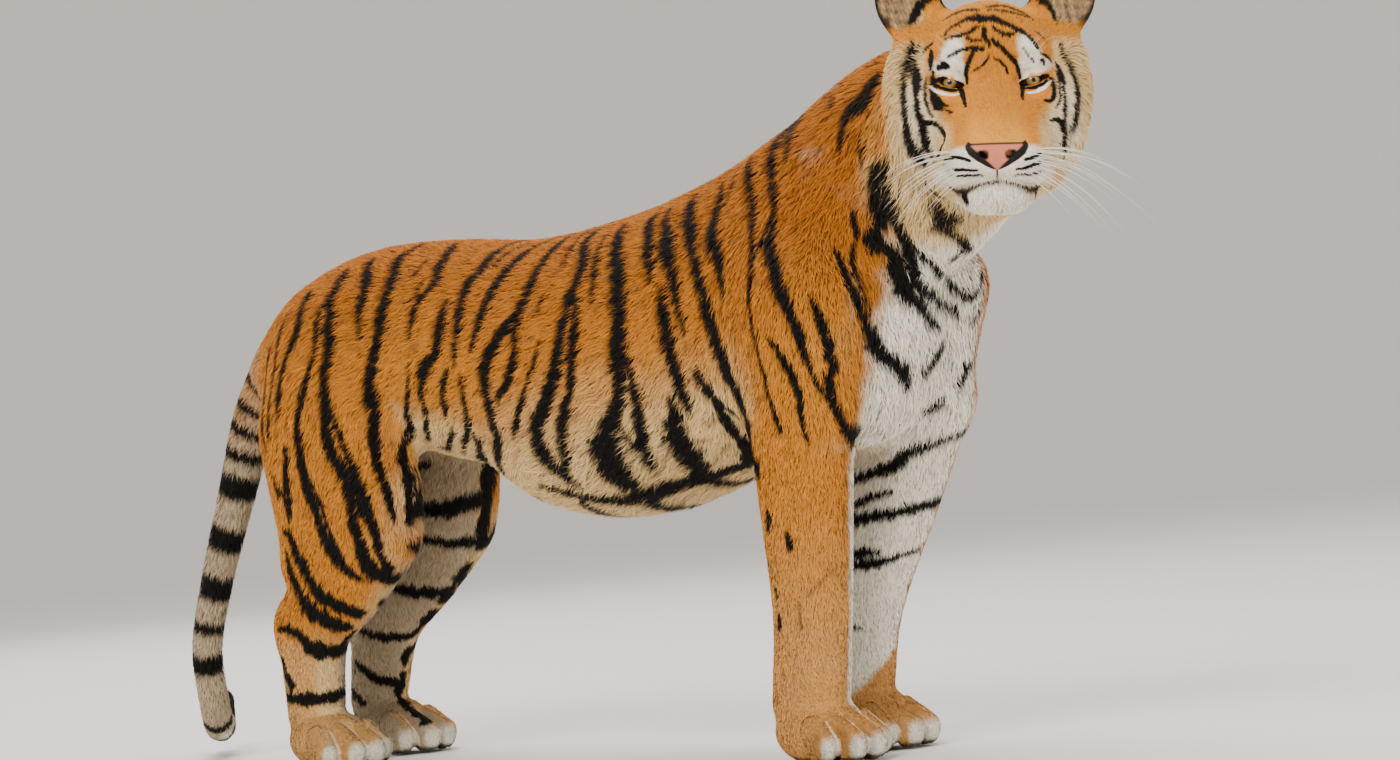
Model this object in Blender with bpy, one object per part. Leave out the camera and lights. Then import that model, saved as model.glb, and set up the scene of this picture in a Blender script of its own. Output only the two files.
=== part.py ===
"""A bengal tiger standing still, at life size, with its head turned to its right.

The flesh is one rounded form: a field of distances from named muscles and bones, blended where they
meet. The field is given a surface, the surface is thinned out, and thin cuts then part it where a
person would name the parts of the animal. Lengths are in metres. The stations of the body are written
with +X forward, +Y to the animal's left and +Z up, with Z = 0 at the soles.
"""

from math import cos, pi, radians, sin

import bmesh
import bpy
import numpy as np
from mathutils import Matrix, Vector

# Driving dimensions. A row of TRUNK, NECK or TAIL is x, y, z, half width, half depth.
BOX_CENTRE = np.array((-0.125, -0.007, 0.0))
TRUNK = [
    (-0.716, 0.000, 0.604, 0.084, 0.082),
    (-0.624, 0.000, 0.636, 0.130, 0.122),
    (-0.500, 0.000, 0.648, 0.150, 0.148),
    (-0.350, 0.000, 0.630, 0.155, 0.168),
    (-0.200, 0.000, 0.608, 0.165, 0.178),
    (-0.060, 0.000, 0.582, 0.182, 0.208),
    (0.060, 0.000, 0.585, 0.190, 0.218),
    (0.180, 0.000, 0.608, 0.190, 0.215),
    (0.300, 0.000, 0.636, 0.182, 0.216),
    (0.410, 0.000, 0.672, 0.160, 0.205),
    (0.460, 0.000, 0.680, 0.135, 0.170),
]
NECK = [
    (0.340, 0.000, 0.680, 0.110, 0.150),
    (0.440, 0.000, 0.735, 0.120, 0.160),
    (0.540, 0.004, 0.798, 0.118, 0.166),
    (0.640, 0.008, 0.848, 0.112, 0.158),
    (0.720, 0.000, 0.866, 0.105, 0.130),
]
TAIL = [
    (-0.660, 0.000, 0.680, 0.050, 0.055),
    (-0.765, -0.006, 0.634, 0.042, 0.046),
    (-0.840, -0.016, 0.550, 0.036, 0.038),
    (-0.899, -0.019, 0.430, 0.031, 0.032),
    (-0.957, -0.025, 0.300, 0.0275, 0.0275),
    (-0.999, -0.025, 0.190, 0.026, 0.026),
    (-1.030, 0.004, 0.105, 0.026, 0.026),
    (-1.085, 0.055, 0.058, 0.026, 0.026),
    (-1.150, 0.115, 0.050, 0.025, 0.025),
    (-1.205, 0.165, 0.085, 0.022, 0.022),
]
# Joints of the legs, with -1 for the right side and +1 for the left.
ELBOW = {-1: (0.465, -0.118, 0.505), 1: (0.474, 0.121, 0.505)}
WRIST = {-1: (0.433, -0.096, 0.215), 1: (0.362, 0.085, 0.215)}
FORE_HEEL = {-1: (0.410, -0.091, 0.085), 1: (0.334, 0.080, 0.085)}
FORE_TOES_TURN = {-1: -6.0, 1: 8.0}
HIP = {-1: (-0.585, -0.098, 0.590), 1: (-0.585, 0.098, 0.590)}
KNEE = {-1: (-0.435, -0.125, 0.405), 1: (-0.545, 0.122, 0.400)}
HOCK = {-1: (-0.672, -0.112, 0.215), 1: (-0.752, 0.108, 0.212)}
HIND_HEEL = {-1: (-0.647, -0.108, 0.085), 1: (-0.742, 0.104, 0.085)}
HIND_TOES_TURN = {-1: -6.0, 1: 8.0}
SHOULDER_TOP = (0.440, 0.072, 0.826)
SHOULDER_POINT = (0.495, 0.125, 0.655)
# The head's own frame starts midway between the eyes: forward, left, up.
EYES_MIDDLE = np.array((0.862, -0.0986, 0.9266))
HEAD_TURN = {"yaw": -45.6, "pitch": 1.0, "roll": -3.2}
EYE_PLACE = (-0.0135, 0.054, 0.000)
EYE_RADIUS = 0.0175
EAR_PLACE = (-0.130, 0.107, 0.120)
EAR_RADII = (0.021, 0.047, 0.057)
EAR_LEAN = 20.0
LEG_CUT_HEIGHT = 0.385
PAW_CUT_HEIGHT = 0.105
EAR_CUT_DROP = 0.030
NOSE_PLACE = (0.117, 0, -0.099)
NOSE_RADII = (0.020, 0.036, 0.0185)
MOUTH_HEIGHT = -0.142
JAW_BACK = -0.020
# Places, directions and radii of the cuts across the tail.
TAIL_CUTS = [
    ((-0.852, -0.017, 0.525), (-0.060, -0.004, -0.125), 0.052),
    ((-0.957, -0.025, 0.300), (-0.050, 0.000, -0.120), 0.045),
    ((-1.042, 0.011, 0.093), (-0.048, 0.040, -0.060), 0.045),
]
# Base colour and roughness of the parts whose names start so; the rest have the coat's.
FINISHES = {
    "coat": ((0.56, 0.27, 0.07), 0.85),
    "lower": ((0.78, 0.70, 0.58), 0.85),
    "nose": ((0.55, 0.25, 0.20), 0.45),
    "eye": ((0.35, 0.24, 0.08), 0.10),
    "tail": ((0.52, 0.42, 0.30), 0.85),
}
# Fineness of the surface, and the clearances that keep the parts separate.
CELL = 0.0065
BODY_TRIANGLES = 4050
GAP = 0.0003
CUT = 0.0006
FAR = 0.10


# ---------------------------------------------------------------- rounded shapes and their blending


def turned(yaw=0.0, pitch=0.0, roll=0.0):
    """Axes as columns (forward, left, up) after a roll, a nose-up pitch and a turn to the left."""
    y, p, r = radians(yaw), radians(pitch), radians(roll)
    about_z = np.array([[cos(y), -sin(y), 0], [sin(y), cos(y), 0], [0, 0, 1]])
    about_y = np.array([[cos(p), 0, -sin(p)], [0, 1, 0], [sin(p), 0, cos(p)]])
    about_x = np.array([[1, 0, 0], [0, cos(r), -sin(r)], [0, sin(r), cos(r)]])
    return about_z @ about_y @ about_x


class Ball:
    """An ellipsoid: centre, three radii, and its axes as the columns of a matrix."""

    def __init__(self, centre, radii, axes=None):
        self.centre = np.asarray(centre, float)
        self.radii = np.asarray(radii, float)
        self.axes = np.eye(3) if axes is None else axes
        self.low = self.centre - self.radii.max()
        self.high = self.centre + self.radii.max()

    def distance(self, points):
        local = (points - self.centre) @ self.axes
        near = np.linalg.norm(local / self.radii, axis=1)
        slope = np.linalg.norm(local / self.radii**2, axis=1)
        return near * (near - 1) / np.maximum(slope, 1e-9)

    def placed(self, axes, origin):
        return Ball(origin + axes @ self.centre, self.radii, axes @ self.axes)


class Limb:
    """A tapered length of oval section; each end has a half width along side and a half depth."""

    def __init__(self, start, end, start_radii, end_radii, side=(0, 1, 0)):
        self.start, self.end = np.asarray(start, float), np.asarray(end, float)
        self.start_radii = np.asarray(start_radii, float)
        self.end_radii = np.asarray(end_radii, float)
        self.side = np.asarray(side, float)
        self.length = np.linalg.norm(self.end - self.start)
        self.along = (self.end - self.start) / self.length
        across = self.side - (self.side @ self.along) * self.along
        self.across = across / np.linalg.norm(across)
        self.deep = np.cross(self.along, self.across)
        reach = max(self.start_radii.max(), self.end_radii.max())
        self.low = np.minimum(self.start, self.end) - reach
        self.high = np.maximum(self.start, self.end) + reach

    def distance(self, points):
        offset = points - self.start
        along = offset @ self.along
        part = np.clip(along / self.length, 0, 1)
        width = self.start_radii[0] + (self.end_radii[0] - self.start_radii[0]) * part
        depth = self.start_radii[1] + (self.end_radii[1] - self.start_radii[1]) * part
        local = np.stack([offset @ self.across, offset @ self.deep, along - part * self.length], 1)
        radii = np.stack([width, depth, np.minimum(width, depth)], 1)
        near = np.linalg.norm(local / radii, axis=1)
        slope = np.linalg.norm(local / radii**2, axis=1)
        return near * (near - 1) / np.maximum(slope, 1e-9)

    def placed(self, axes, origin):
        ends = origin + axes @ self.start, origin + axes @ self.end
        return Limb(*ends, self.start_radii, self.end_radii, axes @ self.side)


def smooth_rows(rows, steps):
    """Rows along a Catmull-Rom curve through the given rows."""
    rows = np.asarray(rows, float)
    ends = np.vstack([2 * rows[0] - rows[1], rows, 2 * rows[-1] - rows[-2]])
    fine = []
    for a, b, c, d in zip(ends, ends[1:], ends[2:], ends[3:]):
        for t in np.arange(steps) / steps:
            bend = (2 * a - 5 * b + 4 * c - d) * t**2 + (3 * b - a - 3 * c + d) * t**3
            fine.append(0.5 * (2 * b + (c - a) * t + bend))
    return np.array(fine + [rows[-1]])


def limb_chain(rows, steps=4):
    """Limbs end to end along a smooth curve through rows of x, y, z, half width, half depth."""
    rows = smooth_rows(rows, steps)
    return [Limb(a[:3], b[:3], a[3:], b[3:]) for a, b in zip(rows, rows[1:])]


def soft_minimum(a, b, blend):
    overlap = np.maximum(blend - np.abs(a - b), 0) / blend
    return np.minimum(a, b) - overlap**2 * blend / 4


def group_distance(points, group):
    """Distance to the nearest of a group of shapes, no more than FAR."""
    distance = np.full(len(points), FAR)
    for shape in group:
        near = np.all((points > shape.low - FAR) & (points < shape.high + FAR), axis=1)
        near = np.flatnonzero(near)
        if len(near):
            distance[near] = np.minimum(distance[near], shape.distance(points[near]))
    return distance


def field(points, masses, hollows):
    """Signed distance to the flesh: masses blended together, less the hollows."""
    distance = np.full(len(points), FAR)
    for group, blend in masses:
        distance = soft_minimum(distance, group_distance(points, group), blend)
    for group, blend in hollows:
        distance = -soft_minimum(-distance, group_distance(points, group), blend)
    return distance


# ---------------------------------------------------------------- anatomy


def paw(heel, turn, size, ahead):
    """A broad paw with four knuckled toes, ahead of the heel."""
    axes = turned(yaw=turn)
    origin = np.array((heel[0], heel[1], 0)) + axes @ (ahead, 0, 0)
    pad = Ball((-0.010, 0, 0.046), np.array((0.070, 0.062, 0.050)) * size)
    shapes = [pad]
    for forward, left in ((0.052, -0.050), (0.079, -0.0185), (0.079, 0.0185), (0.052, 0.050)):
        knuckle, tip = (forward * 0.45, left * 0.84, 0.050), (forward, left, 0.0248)
        shapes.append(Limb(knuckle, tip, (0.0215, 0.0250), (0.0215, 0.0265), turned(yaw=left * 280)[:, 1]))
    return [shape.placed(axes, origin) for shape in shapes]


def fore_leg(s):
    elbow, wrist, heel = (np.array(place[s]) for place in (ELBOW, WRIST, FORE_HEEL))
    top, point = (np.array(place) * (1, s, 1) for place in (SHOULDER_TOP, SHOULDER_POINT))
    middle = elbow * 0.55 + wrist * 0.45
    rows = [(*elbow, 0.066, 0.086), (*middle, 0.062, 0.074), (*wrist, 0.053, 0.062), (*heel, 0.053, 0.059)]
    return [
        ([Limb(top, point, (0.050, 0.085), (0.070, 0.095))], 0.05),
        ([Limb(point, elbow, (0.075, 0.095), (0.062, 0.085))], 0.05),
        ([Ball((0.400, s * 0.128, 0.640), (0.115, 0.062, 0.130))], 0.05),
        (limb_chain(rows), 0.03),
        (paw(heel, FORE_TOES_TURN[s], 1.0, 0.026), 0.012),
    ]


def hind_leg(s):
    hip, knee, hock, heel = (np.array(place[s]) for place in (HIP, KNEE, HOCK, HIND_HEEL))
    calf = knee * 0.45 + hock * 0.55 + (0.028, 0, 0.006)
    rows = [
        (*(knee - (0.010, 0, 0.020)), 0.062, 0.092),
        (*calf, 0.054, 0.086),
        (*(hock + (0.043, 0, 0)), 0.046, 0.064),
        (*heel, 0.044, 0.047),
    ]
    ham = hock + (0.05, 0, 0.10)
    return [
        ([Ball(hip + (0.030, s * 0.003, -0.055), (0.140, 0.074, 0.190), turned(pitch=-12))], 0.05),
        ([Limb(hip + (0.02, 0, -0.03), knee, (0.075, 0.120), (0.060, 0.085))], 0.05),
        ([Limb(hip - (0.020, 0, 0.07), ham + (0.005, 0, 0), (0.056, 0.078), (0.040, 0.068))], 0.05),
        (limb_chain(rows), 0.03),
        ([Ball(hock + (0, 0, 0.008), (0.032, 0.034, 0.045))], 0.03),
        (paw(heel + (0.012, 0, 0), HIND_TOES_TURN[s], 0.94, 0.022), 0.012),
    ]


def head_masses():
    """Skull, muzzle and cheeks in the head's own frame."""
    single = [
        (Ball((-0.106, 0, 0.024), (0.114, 0.094, 0.096)), 0.03),  # crown
        (Limb((-0.034, 0, 0.002), (0.086, 0, -0.082), (0.047, 0.044), (0.045, 0.034)), 0.03),  # bridge
        (Ball((0.104, 0, -0.090), (0.021, 0.034, 0.021)), 0.015),  # end of the nose
        (Ball((0.056, 0, -0.151), (0.037, 0.043, 0.027)), 0.02),  # chin
        (Ball((-0.135, 0, -0.075), (0.080, 0.098, 0.085)), 0.05),  # throat
    ]
    masses = [([shape], blend) for shape, blend in single]
    for s in (-1, 1):
        lean = turned(roll=s * -10)
        lip_back, lip_front = (-0.010, s * 0.042, -0.062), (0.072, s * 0.034, -0.101)
        jaw_front, jaw_back = (0.045, s * 0.022, -0.148), (-0.070, s * 0.066, -0.100)
        pair = [
            (Ball((-0.033, s * 0.044, 0.027), (0.042, 0.037, 0.031)), 0.03),  # brow
            (Ball((-0.055, s * 0.079, -0.032), (0.062, 0.040, 0.039)), 0.035),  # cheek bone
            (Limb(lip_back, lip_front, (0.038, 0.044), (0.036, 0.036)), 0.028),  # side of the muzzle
            (Ball((0.080, s * 0.035, -0.112), (0.037, 0.037, 0.031)), 0.02),  # whisker pad
            (Limb(jaw_front, jaw_back, (0.030, 0.030), (0.042, 0.055)), 0.03),  # jaw
            (Ball((-0.085, s * 0.076, -0.050), (0.062, 0.052, 0.074)), 0.04),  # cheek
            (Ball((-0.125, s * 0.098, -0.025), (0.046, 0.046, 0.100), lean), 0.04),  # ruff
            (Ball((-0.134, s * 0.083, 0.078), (0.027, 0.034, 0.044), lean), 0.03),  # root of the ear
        ]
        masses += [([shape], blend) for shape, blend in pair]
    return masses


def ear_shapes(s):
    """An ear and the cup in its front, in the head's own frame."""
    axes = turned(yaw=s * EAR_LEAN, pitch=-6, roll=s * -EAR_LEAN)
    place = np.array(EAR_PLACE) * (1, s, 1)
    cup_place = place + axes @ (0.026, s * -0.002, 0.008)
    return Ball(place, EAR_RADII, axes), Ball(cup_place, (0.026, 0.035, 0.044), axes)


def in_head(shapes):
    return [shape.placed(turned(**HEAD_TURN), EYES_MIDDLE) for shape in shapes]


def tiger_shapes():
    """The masses and hollows of the whole animal, each a group of shapes with its blend."""
    masses = [(limb_chain(TRUNK, 5), 0.01), (limb_chain(NECK, 5), 0.06)]
    masses.append(([Ball((0.473, 0, 0.590), (0.115, 0.128, 0.150))], 0.06))  # breast
    masses.append(([Ball((-0.020, 0, 0.470), (0.220, 0.120, 0.095))], 0.06))  # belly
    masses.append((limb_chain(TAIL), 0.05))
    hollows = []
    for s in (-1, 1):
        masses += fore_leg(s) + hind_leg(s)
    masses += [(in_head(group), blend) for group, blend in head_masses()]
    for s in (-1, 1):
        ear, cup = ear_shapes(s)
        masses.append((in_head([ear]), 0.020))
        hollows.append((in_head([cup]), 0.006))
        eye_hollow = Ball((0.014, s * 0.057, 0.001), (0.019, 0.025, 0.010), turned(yaw=s * 18))
        hollows.append((in_head([eye_hollow]), 0.012))
    return masses, hollows


# ---------------------------------------------------------------- surface


def grid_values(distance, low, high, blocks=3):
    """Values of a distance function on a grid, worked out in full only near its surface."""
    cells = np.ceil((high - low) / CELL / blocks).astype(int) + 1
    axes = [low[k] + CELL * (blocks * np.arange(cells[k]) + (blocks - 1) / 2) for k in range(3)]
    centres = np.stack(np.meshgrid(*axes, indexing="ij"), -1).reshape(-1, 3)
    values = distance(centres).reshape(cells)
    for axis in range(3):
        values = values.repeat(blocks, axis)
    near = np.argwhere(np.abs(values) < CELL * blocks * 1.3 + 0.012)
    for part in np.array_split(near, max(1, len(near) // 300000)):
        values[tuple(part.T)] = distance(low + CELL * part)
    return values


def joined(values, filling=-0.0003):
    """Values with solid added where two solid corners of the grid would touch only along an edge."""
    while True:
        inside = values < 0
        touching = np.zeros_like(inside)
        for first, second in ((0, 1), (0, 2), (1, 2)):
            corners = []
            for a, b in ((0, 0), (1, 1), (0, 1), (1, 0)):
                at = [slice(None)] * 3
                at[first] = slice(a, a - 1 or None)
                at[second] = slice(b, b - 1 or None)
                corners.append(tuple(at))
            for one, two, three, four in (corners, corners[2:] + corners[:2]):
                touching[three] |= inside[one] & inside[two] & ~inside[three] & ~inside[four]
        if not touching.any():
            return values
        values = np.where(touching, filling, values)


def surface_net(values, low):
    """Closed quads round the cells where the values change sign, facing out."""
    values = joined(values)
    inside = values < 0
    cells = np.array(values.shape) - 1
    corners = [np.array((i, j, k)) for i in (0, 1) for j in (0, 1) for k in (0, 1)]
    views = [inside[tuple(slice(c, c + n) for c, n in zip(corner, cells))] for corner in corners]
    count = np.sum(views, axis=0)
    index = np.argwhere((count > 0) & (count < 8))
    number = np.full(tuple(cells), -1)
    number[tuple(index.T)] = np.arange(len(index))
    total, hits = np.zeros((len(index), 3)), np.zeros((len(index), 1))
    for corner in corners:
        for axis in np.flatnonzero(corner == 0):
            step = np.eye(3, dtype=int)[axis]
            a = values[tuple((index + corner).T)]
            b = values[tuple((index + corner + step).T)]
            crossed = (a < 0) != (b < 0)
            part = a[crossed] / (a[crossed] - b[crossed])
            total[crossed] += corner + part[:, None] * step
            hits[crossed] += 1
    points = low + CELL * (index + total / hits)
    quads = []
    for axis in range(3):
        u, v = (axis + 1) % 3, (axis + 2) % 3
        first, second = [slice(1, -1)] * 3, [slice(1, -1)] * 3
        first[axis], second[axis] = slice(0, -1), slice(1, None)
        a, b = inside[tuple(first)], inside[tuple(second)]
        for leaving in (True, False):
            base = np.argwhere(a & ~b if leaving else ~a & b)
            base[:, [u, v]] += 1
            ring = []
            for du, dv in ((-1, -1), (0, -1), (0, 0), (-1, 0)):
                cell = base.copy()
                cell[:, u] += du
                cell[:, v] += dv
                ring.append(number[tuple(cell.T)])
            quads.append(np.stack(ring if leaving else ring[::-1], 1))
    return points, np.vstack(quads)


def settled(points, distance, probe=0.0005):
    """Points moved onto the surface along the slope of the distance."""
    value = distance(points)
    slope = [distance(points + step) - distance(points - step) for step in np.eye(3) * probe]
    slope = np.stack(slope, 1) / (2 * probe)
    steepness = np.maximum((slope**2).sum(1), 0.05)
    return points - np.clip(value / steepness, -CELL / 2, CELL / 2)[:, None] * slope


def whole_animal():
    """The closed outer form of the tiger, thinned to BODY_TRIANGLES, about the centre of its box."""
    masses, hollows = tiger_shapes()

    def distance(points):
        return field(points, masses, hollows)

    low, high = np.array((-1.26, -0.27, -0.03)), np.array((1.00, 0.24, 1.14))
    points, quads = surface_net(grid_values(distance, low, high), low)
    points = settled(points, distance) - BOX_CENTRE
    mesh = bpy.data.meshes.new("tiger")
    mesh.from_pydata(points.tolist(), [], quads.tolist())
    tiger = bpy.data.objects.new("tiger", mesh)
    bpy.context.collection.objects.link(tiger)
    thin = tiger.modifiers.new("thin", "DECIMATE")
    thin.ratio = BODY_TRIANGLES / (2 * len(quads))
    apply_modifiers(tiger)
    return tiger


# ---------------------------------------------------------------- cutting


def apply_modifiers(obj):
    graph = bpy.context.evaluated_depsgraph_get()
    mesh = bpy.data.meshes.new_from_object(obj.evaluated_get(graph))
    obj.modifiers.clear()
    obj.data = mesh


def cutter_from(bm, name):
    """A hidden cutter made from closed geometry that faces out."""
    mesh = bpy.data.meshes.new(name)
    bm.to_mesh(mesh)
    bm.free()
    cutter = bpy.data.objects.new(name, mesh)
    bpy.context.collection.objects.link(cutter)
    cutter.hide_render = True
    cutter.display_type = "WIRE"
    return cutter


def cut(obj, cutter):
    boolean = obj.modifiers.new("cut", "BOOLEAN")
    boolean.operation = "DIFFERENCE"
    boolean.solver = "EXACT"
    boolean.object = cutter
    apply_modifiers(obj)
    bpy.data.objects.remove(cutter)


def disc(centre, axis, radius, thickness=CUT):
    """A thin round blade across a limb."""
    bm = bmesh.new()
    place = Matrix.Translation(to_box(centre)) @ Vector(axis).to_track_quat("Z", "Y").to_matrix().to_4x4()
    bmesh.ops.create_cone(
        bm, cap_ends=True, segments=24, radius1=radius, radius2=radius, depth=thickness, matrix=place
    )
    return cutter_from(bm, "disc")


def to_box(point):
    return Vector(np.asarray(point, float) - BOX_CENTRE)


def squarish(value):
    """A sine or cosine pushed outward, so that a circle of them comes nearer to a square."""
    return abs(value) ** 0.7 * (1 if value > 0 else -1)


def dome_blade(centre, half_x, half_y, base, wall, top, segments=20, rise=3):
    """A thin upright dome over a rounded foot, open below: it frees a leg from the trunk."""
    bm = bmesh.new()
    skins = []
    for offset in (CUT / 2, -CUT / 2):
        levels = [(1.0, base), (1.0, wall)]
        levels += [(cos(t), wall + (top - wall) * sin(t)) for t in np.arange(1, rise) * pi / (2 * rise)]
        rings = []
        for scale, z in levels:
            ring = []
            for k in range(segments):
                angle = 2 * pi * k / segments
                x = (half_x + offset) * scale * squarish(cos(angle))
                y = (half_y + offset) * scale * squarish(sin(angle))
                lift = offset if z > wall else 0
                ring.append(bm.verts.new(to_box((centre[0] + x, centre[1] + y, z + lift))))
            rings.append(ring)
        tip = bm.verts.new(to_box((*centre, top + offset)))
        for a, b in zip(rings, rings[1:]):
            for k in range(segments):
                bm.faces.new((a[k - 1], a[k], b[k], b[k - 1]))
        for k in range(segments):
            bm.faces.new((rings[-1][k - 1], rings[-1][k], tip))
        skins.append(rings[0])
    outer, inner = skins
    for k in range(segments):
        bm.faces.new((outer[k - 1], outer[k], inner[k], inner[k - 1]))
    bmesh.ops.recalc_face_normals(bm, faces=bm.faces)
    return cutter_from(bm, "dome")


def ball_blade(centre, radii):
    """A thin ellipsoidal shell in the head's frame."""
    bm = bmesh.new()
    turn = Matrix(turned(**HEAD_TURN)).to_4x4()
    place = Matrix.Translation(to_box(head_point(centre))) @ turn
    for offset in (CUT / 2, -CUT / 2):
        size = Matrix.Diagonal([radius + offset for radius in radii] + [1])
        made = bmesh.ops.create_uvsphere(bm, u_segments=16, v_segments=8, radius=1, matrix=place @ size)
        if offset < 0:
            faces = {face for vert in made["verts"] for face in vert.link_faces}
            bmesh.ops.reverse_faces(bm, faces=list(faces))
    return cutter_from(bm, "ball")


def islands(obj):
    """Lists of the faces of each separate body of an object's mesh."""
    bm = bmesh.new()
    bm.from_mesh(obj.data)
    seen, groups = set(), []
    for seed in bm.faces:
        if seed.index in seen:
            continue
        seen.add(seed.index)
        group, front = [], [seed]
        while front:
            face = front.pop()
            group.append(face.index)
            for edge in face.edges:
                for other in edge.link_faces:
                    if other.index not in seen:
                        seen.add(other.index)
                        front.append(other)
        groups.append(group)
    bm.free()
    return groups


def parted(obj, seeds):
    """Separate bodies of an object as new objects, each named after the seed point nearest to it."""
    mesh = obj.data
    places = np.array([vert.co for vert in mesh.vertices])
    groups = [sorted({v for f in group for v in mesh.polygons[f].vertices}) for group in islands(obj)]
    owner = {}
    for name, seed in seeds.items():
        reach = [np.linalg.norm(places[group] - np.array(to_box(seed)), axis=1).min() for group in groups]
        owner[int(np.argmin(reach))] = name
    if len(owner) != len(seeds) or len(groups) != len(seeds):
        raise ValueError(f"{len(groups)} bodies for {sorted(seeds)}")
    bpy.data.objects.remove(obj)
    pieces = {}
    for k, name in owner.items():
        bm = bmesh.new()
        bm.from_mesh(mesh)
        keep = set(groups[k])
        bmesh.ops.delete(bm, geom=[vert for vert in bm.verts if vert.index not in keep], context="VERTS")
        piece_mesh = bpy.data.meshes.new(name)
        bm.to_mesh(piece_mesh)
        bm.free()
        piece = bpy.data.objects.new(name, piece_mesh)
        bpy.context.collection.objects.link(piece)
        pieces[name] = piece
    return pieces


def mouth_blade():
    """A thin blade bent like an L that parts the lower jaw: along the mouth, then down behind the chin."""
    corners = [(0.150, MOUTH_HEIGHT), (JAW_BACK, MOUTH_HEIGHT), (JAW_BACK, -0.260)]
    corners += [(JAW_BACK + CUT, -0.260), (JAW_BACK + CUT, MOUTH_HEIGHT - CUT), (0.150, MOUTH_HEIGHT - CUT)]
    bm = bmesh.new()
    sides = []
    for left in (-0.11, 0.11):
        row = [to_box(head_point((forward, left, up))) for forward, up in corners]
        sides.append([bm.verts.new(point) for point in row])
    for k in range(len(corners)):
        bm.faces.new((sides[0][k - 1], sides[0][k], sides[1][k], sides[1][k - 1]))
    for row in sides:
        bm.faces.new(row)
    bmesh.ops.recalc_face_normals(bm, faces=bm.faces)
    return cutter_from(bm, "mouth")


def head_point(place):
    return EYES_MIDDLE + turned(**HEAD_TURN) @ np.array(place)


# ---------------------------------------------------------------- parts


def colour(obj, shade, roughness):
    material = bpy.data.materials.new(obj.name)
    material.use_nodes = True
    shader = material.node_tree.nodes["Principled BSDF"]
    shader.inputs["Base Color"].default_value = (*shade, 1)
    shader.inputs["Roughness"].default_value = roughness
    shader.inputs["Metallic"].default_value = 0
    obj.data.materials.clear()
    obj.data.materials.append(material)
    obj.data.shade_flat()


def floor_cut(tiger):
    """Small flats under the paws, all at floor level."""
    bm = bmesh.new()
    size = Matrix.Diagonal((3, 1, 0.1, 1))
    bmesh.ops.create_cube(bm, size=1, matrix=Matrix.Translation((0, 0, -0.05)) @ size)
    cut(tiger, cutter_from(bm, "floor"))


def part_legs(tiger):
    """Frees the four legs from the trunk and returns the trunk and the legs."""
    seeds = {"trunk": (0, 0, 0.80)}
    for side, s in (("left", 1), ("right", -1)):
        cut(tiger, dome_blade((0.430, s * 0.142), 0.165, 0.117, 0.35, 0.62, 0.90))
        cut(tiger, dome_blade((-0.560, s * 0.147), 0.240, 0.122, 0.27, 0.55, 0.79))
        seeds[f"fore_{side}"] = WRIST[s]
        seeds[f"hind_{side}"] = HOCK[s]
    return parted(tiger, seeds)


def part_leg(leg, name, upper, lower, heel, slope, names):
    """Cuts a leg across below its upper joint and above its paw."""
    upper, lower, heel = (np.array(place) for place in (upper, lower, heel))
    share = (upper[2] - LEG_CUT_HEIGHT) / (upper[2] - lower[2])
    cut(leg, disc(upper + (lower - upper) * share, (slope, 0, 1), 0.40))
    cut(leg, disc((*heel[:2], PAW_CUT_HEIGHT), (0, 0, 1), 0.20))
    top, middle, bottom = (f"{name}_{part}" for part in names)
    return parted(leg, {top: upper + (0, 0, 0.1), middle: lower, bottom: (*heel[:2], 0.03)})


def part_trunk(trunk):
    """Cuts the trunk into neck, chest, barrel, hindquarters and three lengths of tail."""
    cut(trunk, disc((0.255, 0, 0.62), (1, 0, 0), 0.40))
    cut(trunk, disc((-0.315, 0, 0.62), (1, 0, 0), 0.40))
    cut(trunk, disc((0.460, 0, 0.790), (0.70, 0, 0.71), 0.29))
    cut(trunk, disc(head_point((-0.172, 0, -0.02)), turned(**HEAD_TURN)[:, 0], 0.25))
    for place, axis, radius in TAIL_CUTS:
        cut(trunk, disc(place, axis, radius))
    seeds = {
        "head": head_point((0.10, 0, -0.05)),
        "neck": (0.600, 0, 0.980),
        "chest": (0.330, 0, 0.860),
        "barrel": (-0.030, 0, 0.790),
        "hindquarters": (-0.500, 0, 0.790),
        "tail_upper": TAIL[3][:3],
        "tail_middle": TAIL[5][:3],
        "tail_tip": TAIL[-1][:3],
    }
    return parted(trunk, seeds)


def part_head(head):
    """Cuts out the nose, lower jaw and ears, and opens the eye sockets."""
    cut(head, mouth_blade())
    cut(head, ball_blade(NOSE_PLACE, NOSE_RADII))
    seeds = {
        "head": head_point((-0.10, 0, 0.12)),
        "lower_jaw": head_point((0.06, 0, -0.18)),
        "nose": head_point((0.125, 0, -0.099)),
    }
    for side, s in (("left", 1), ("right", -1)):
        ear = ear_shapes(s)[0]
        root = ear.centre - ear.axes[:, 2] * EAR_CUT_DROP
        cut(head, disc(head_point(root), turned(**HEAD_TURN) @ ear.axes[:, 2], 0.064))
        seeds[f"ear_{side}"] = head_point(ear.centre + ear.axes[:, 2] * 0.06)
        cut(head, cutter_from(eye_ball(s, EYE_RADIUS + GAP), "socket"))
    return parted(head, seeds)


def eye_ball(s, radius):
    bm = bmesh.new()
    place = Matrix.Translation(to_box(head_point(np.array(EYE_PLACE) * (1, s, 1))))
    turn = Matrix(turned(**HEAD_TURN) @ turned(pitch=-90)).to_4x4()
    bmesh.ops.create_uvsphere(bm, u_segments=14, v_segments=8, radius=radius, matrix=place @ turn)
    return bm


def eye(side, s):
    bm = eye_ball(s, EYE_RADIUS)
    mesh = bpy.data.meshes.new(f"eye_{side}")
    bm.to_mesh(mesh)
    bm.free()
    obj = bpy.data.objects.new(f"eye_{side}", mesh)
    bpy.context.collection.objects.link(obj)
    return obj


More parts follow.
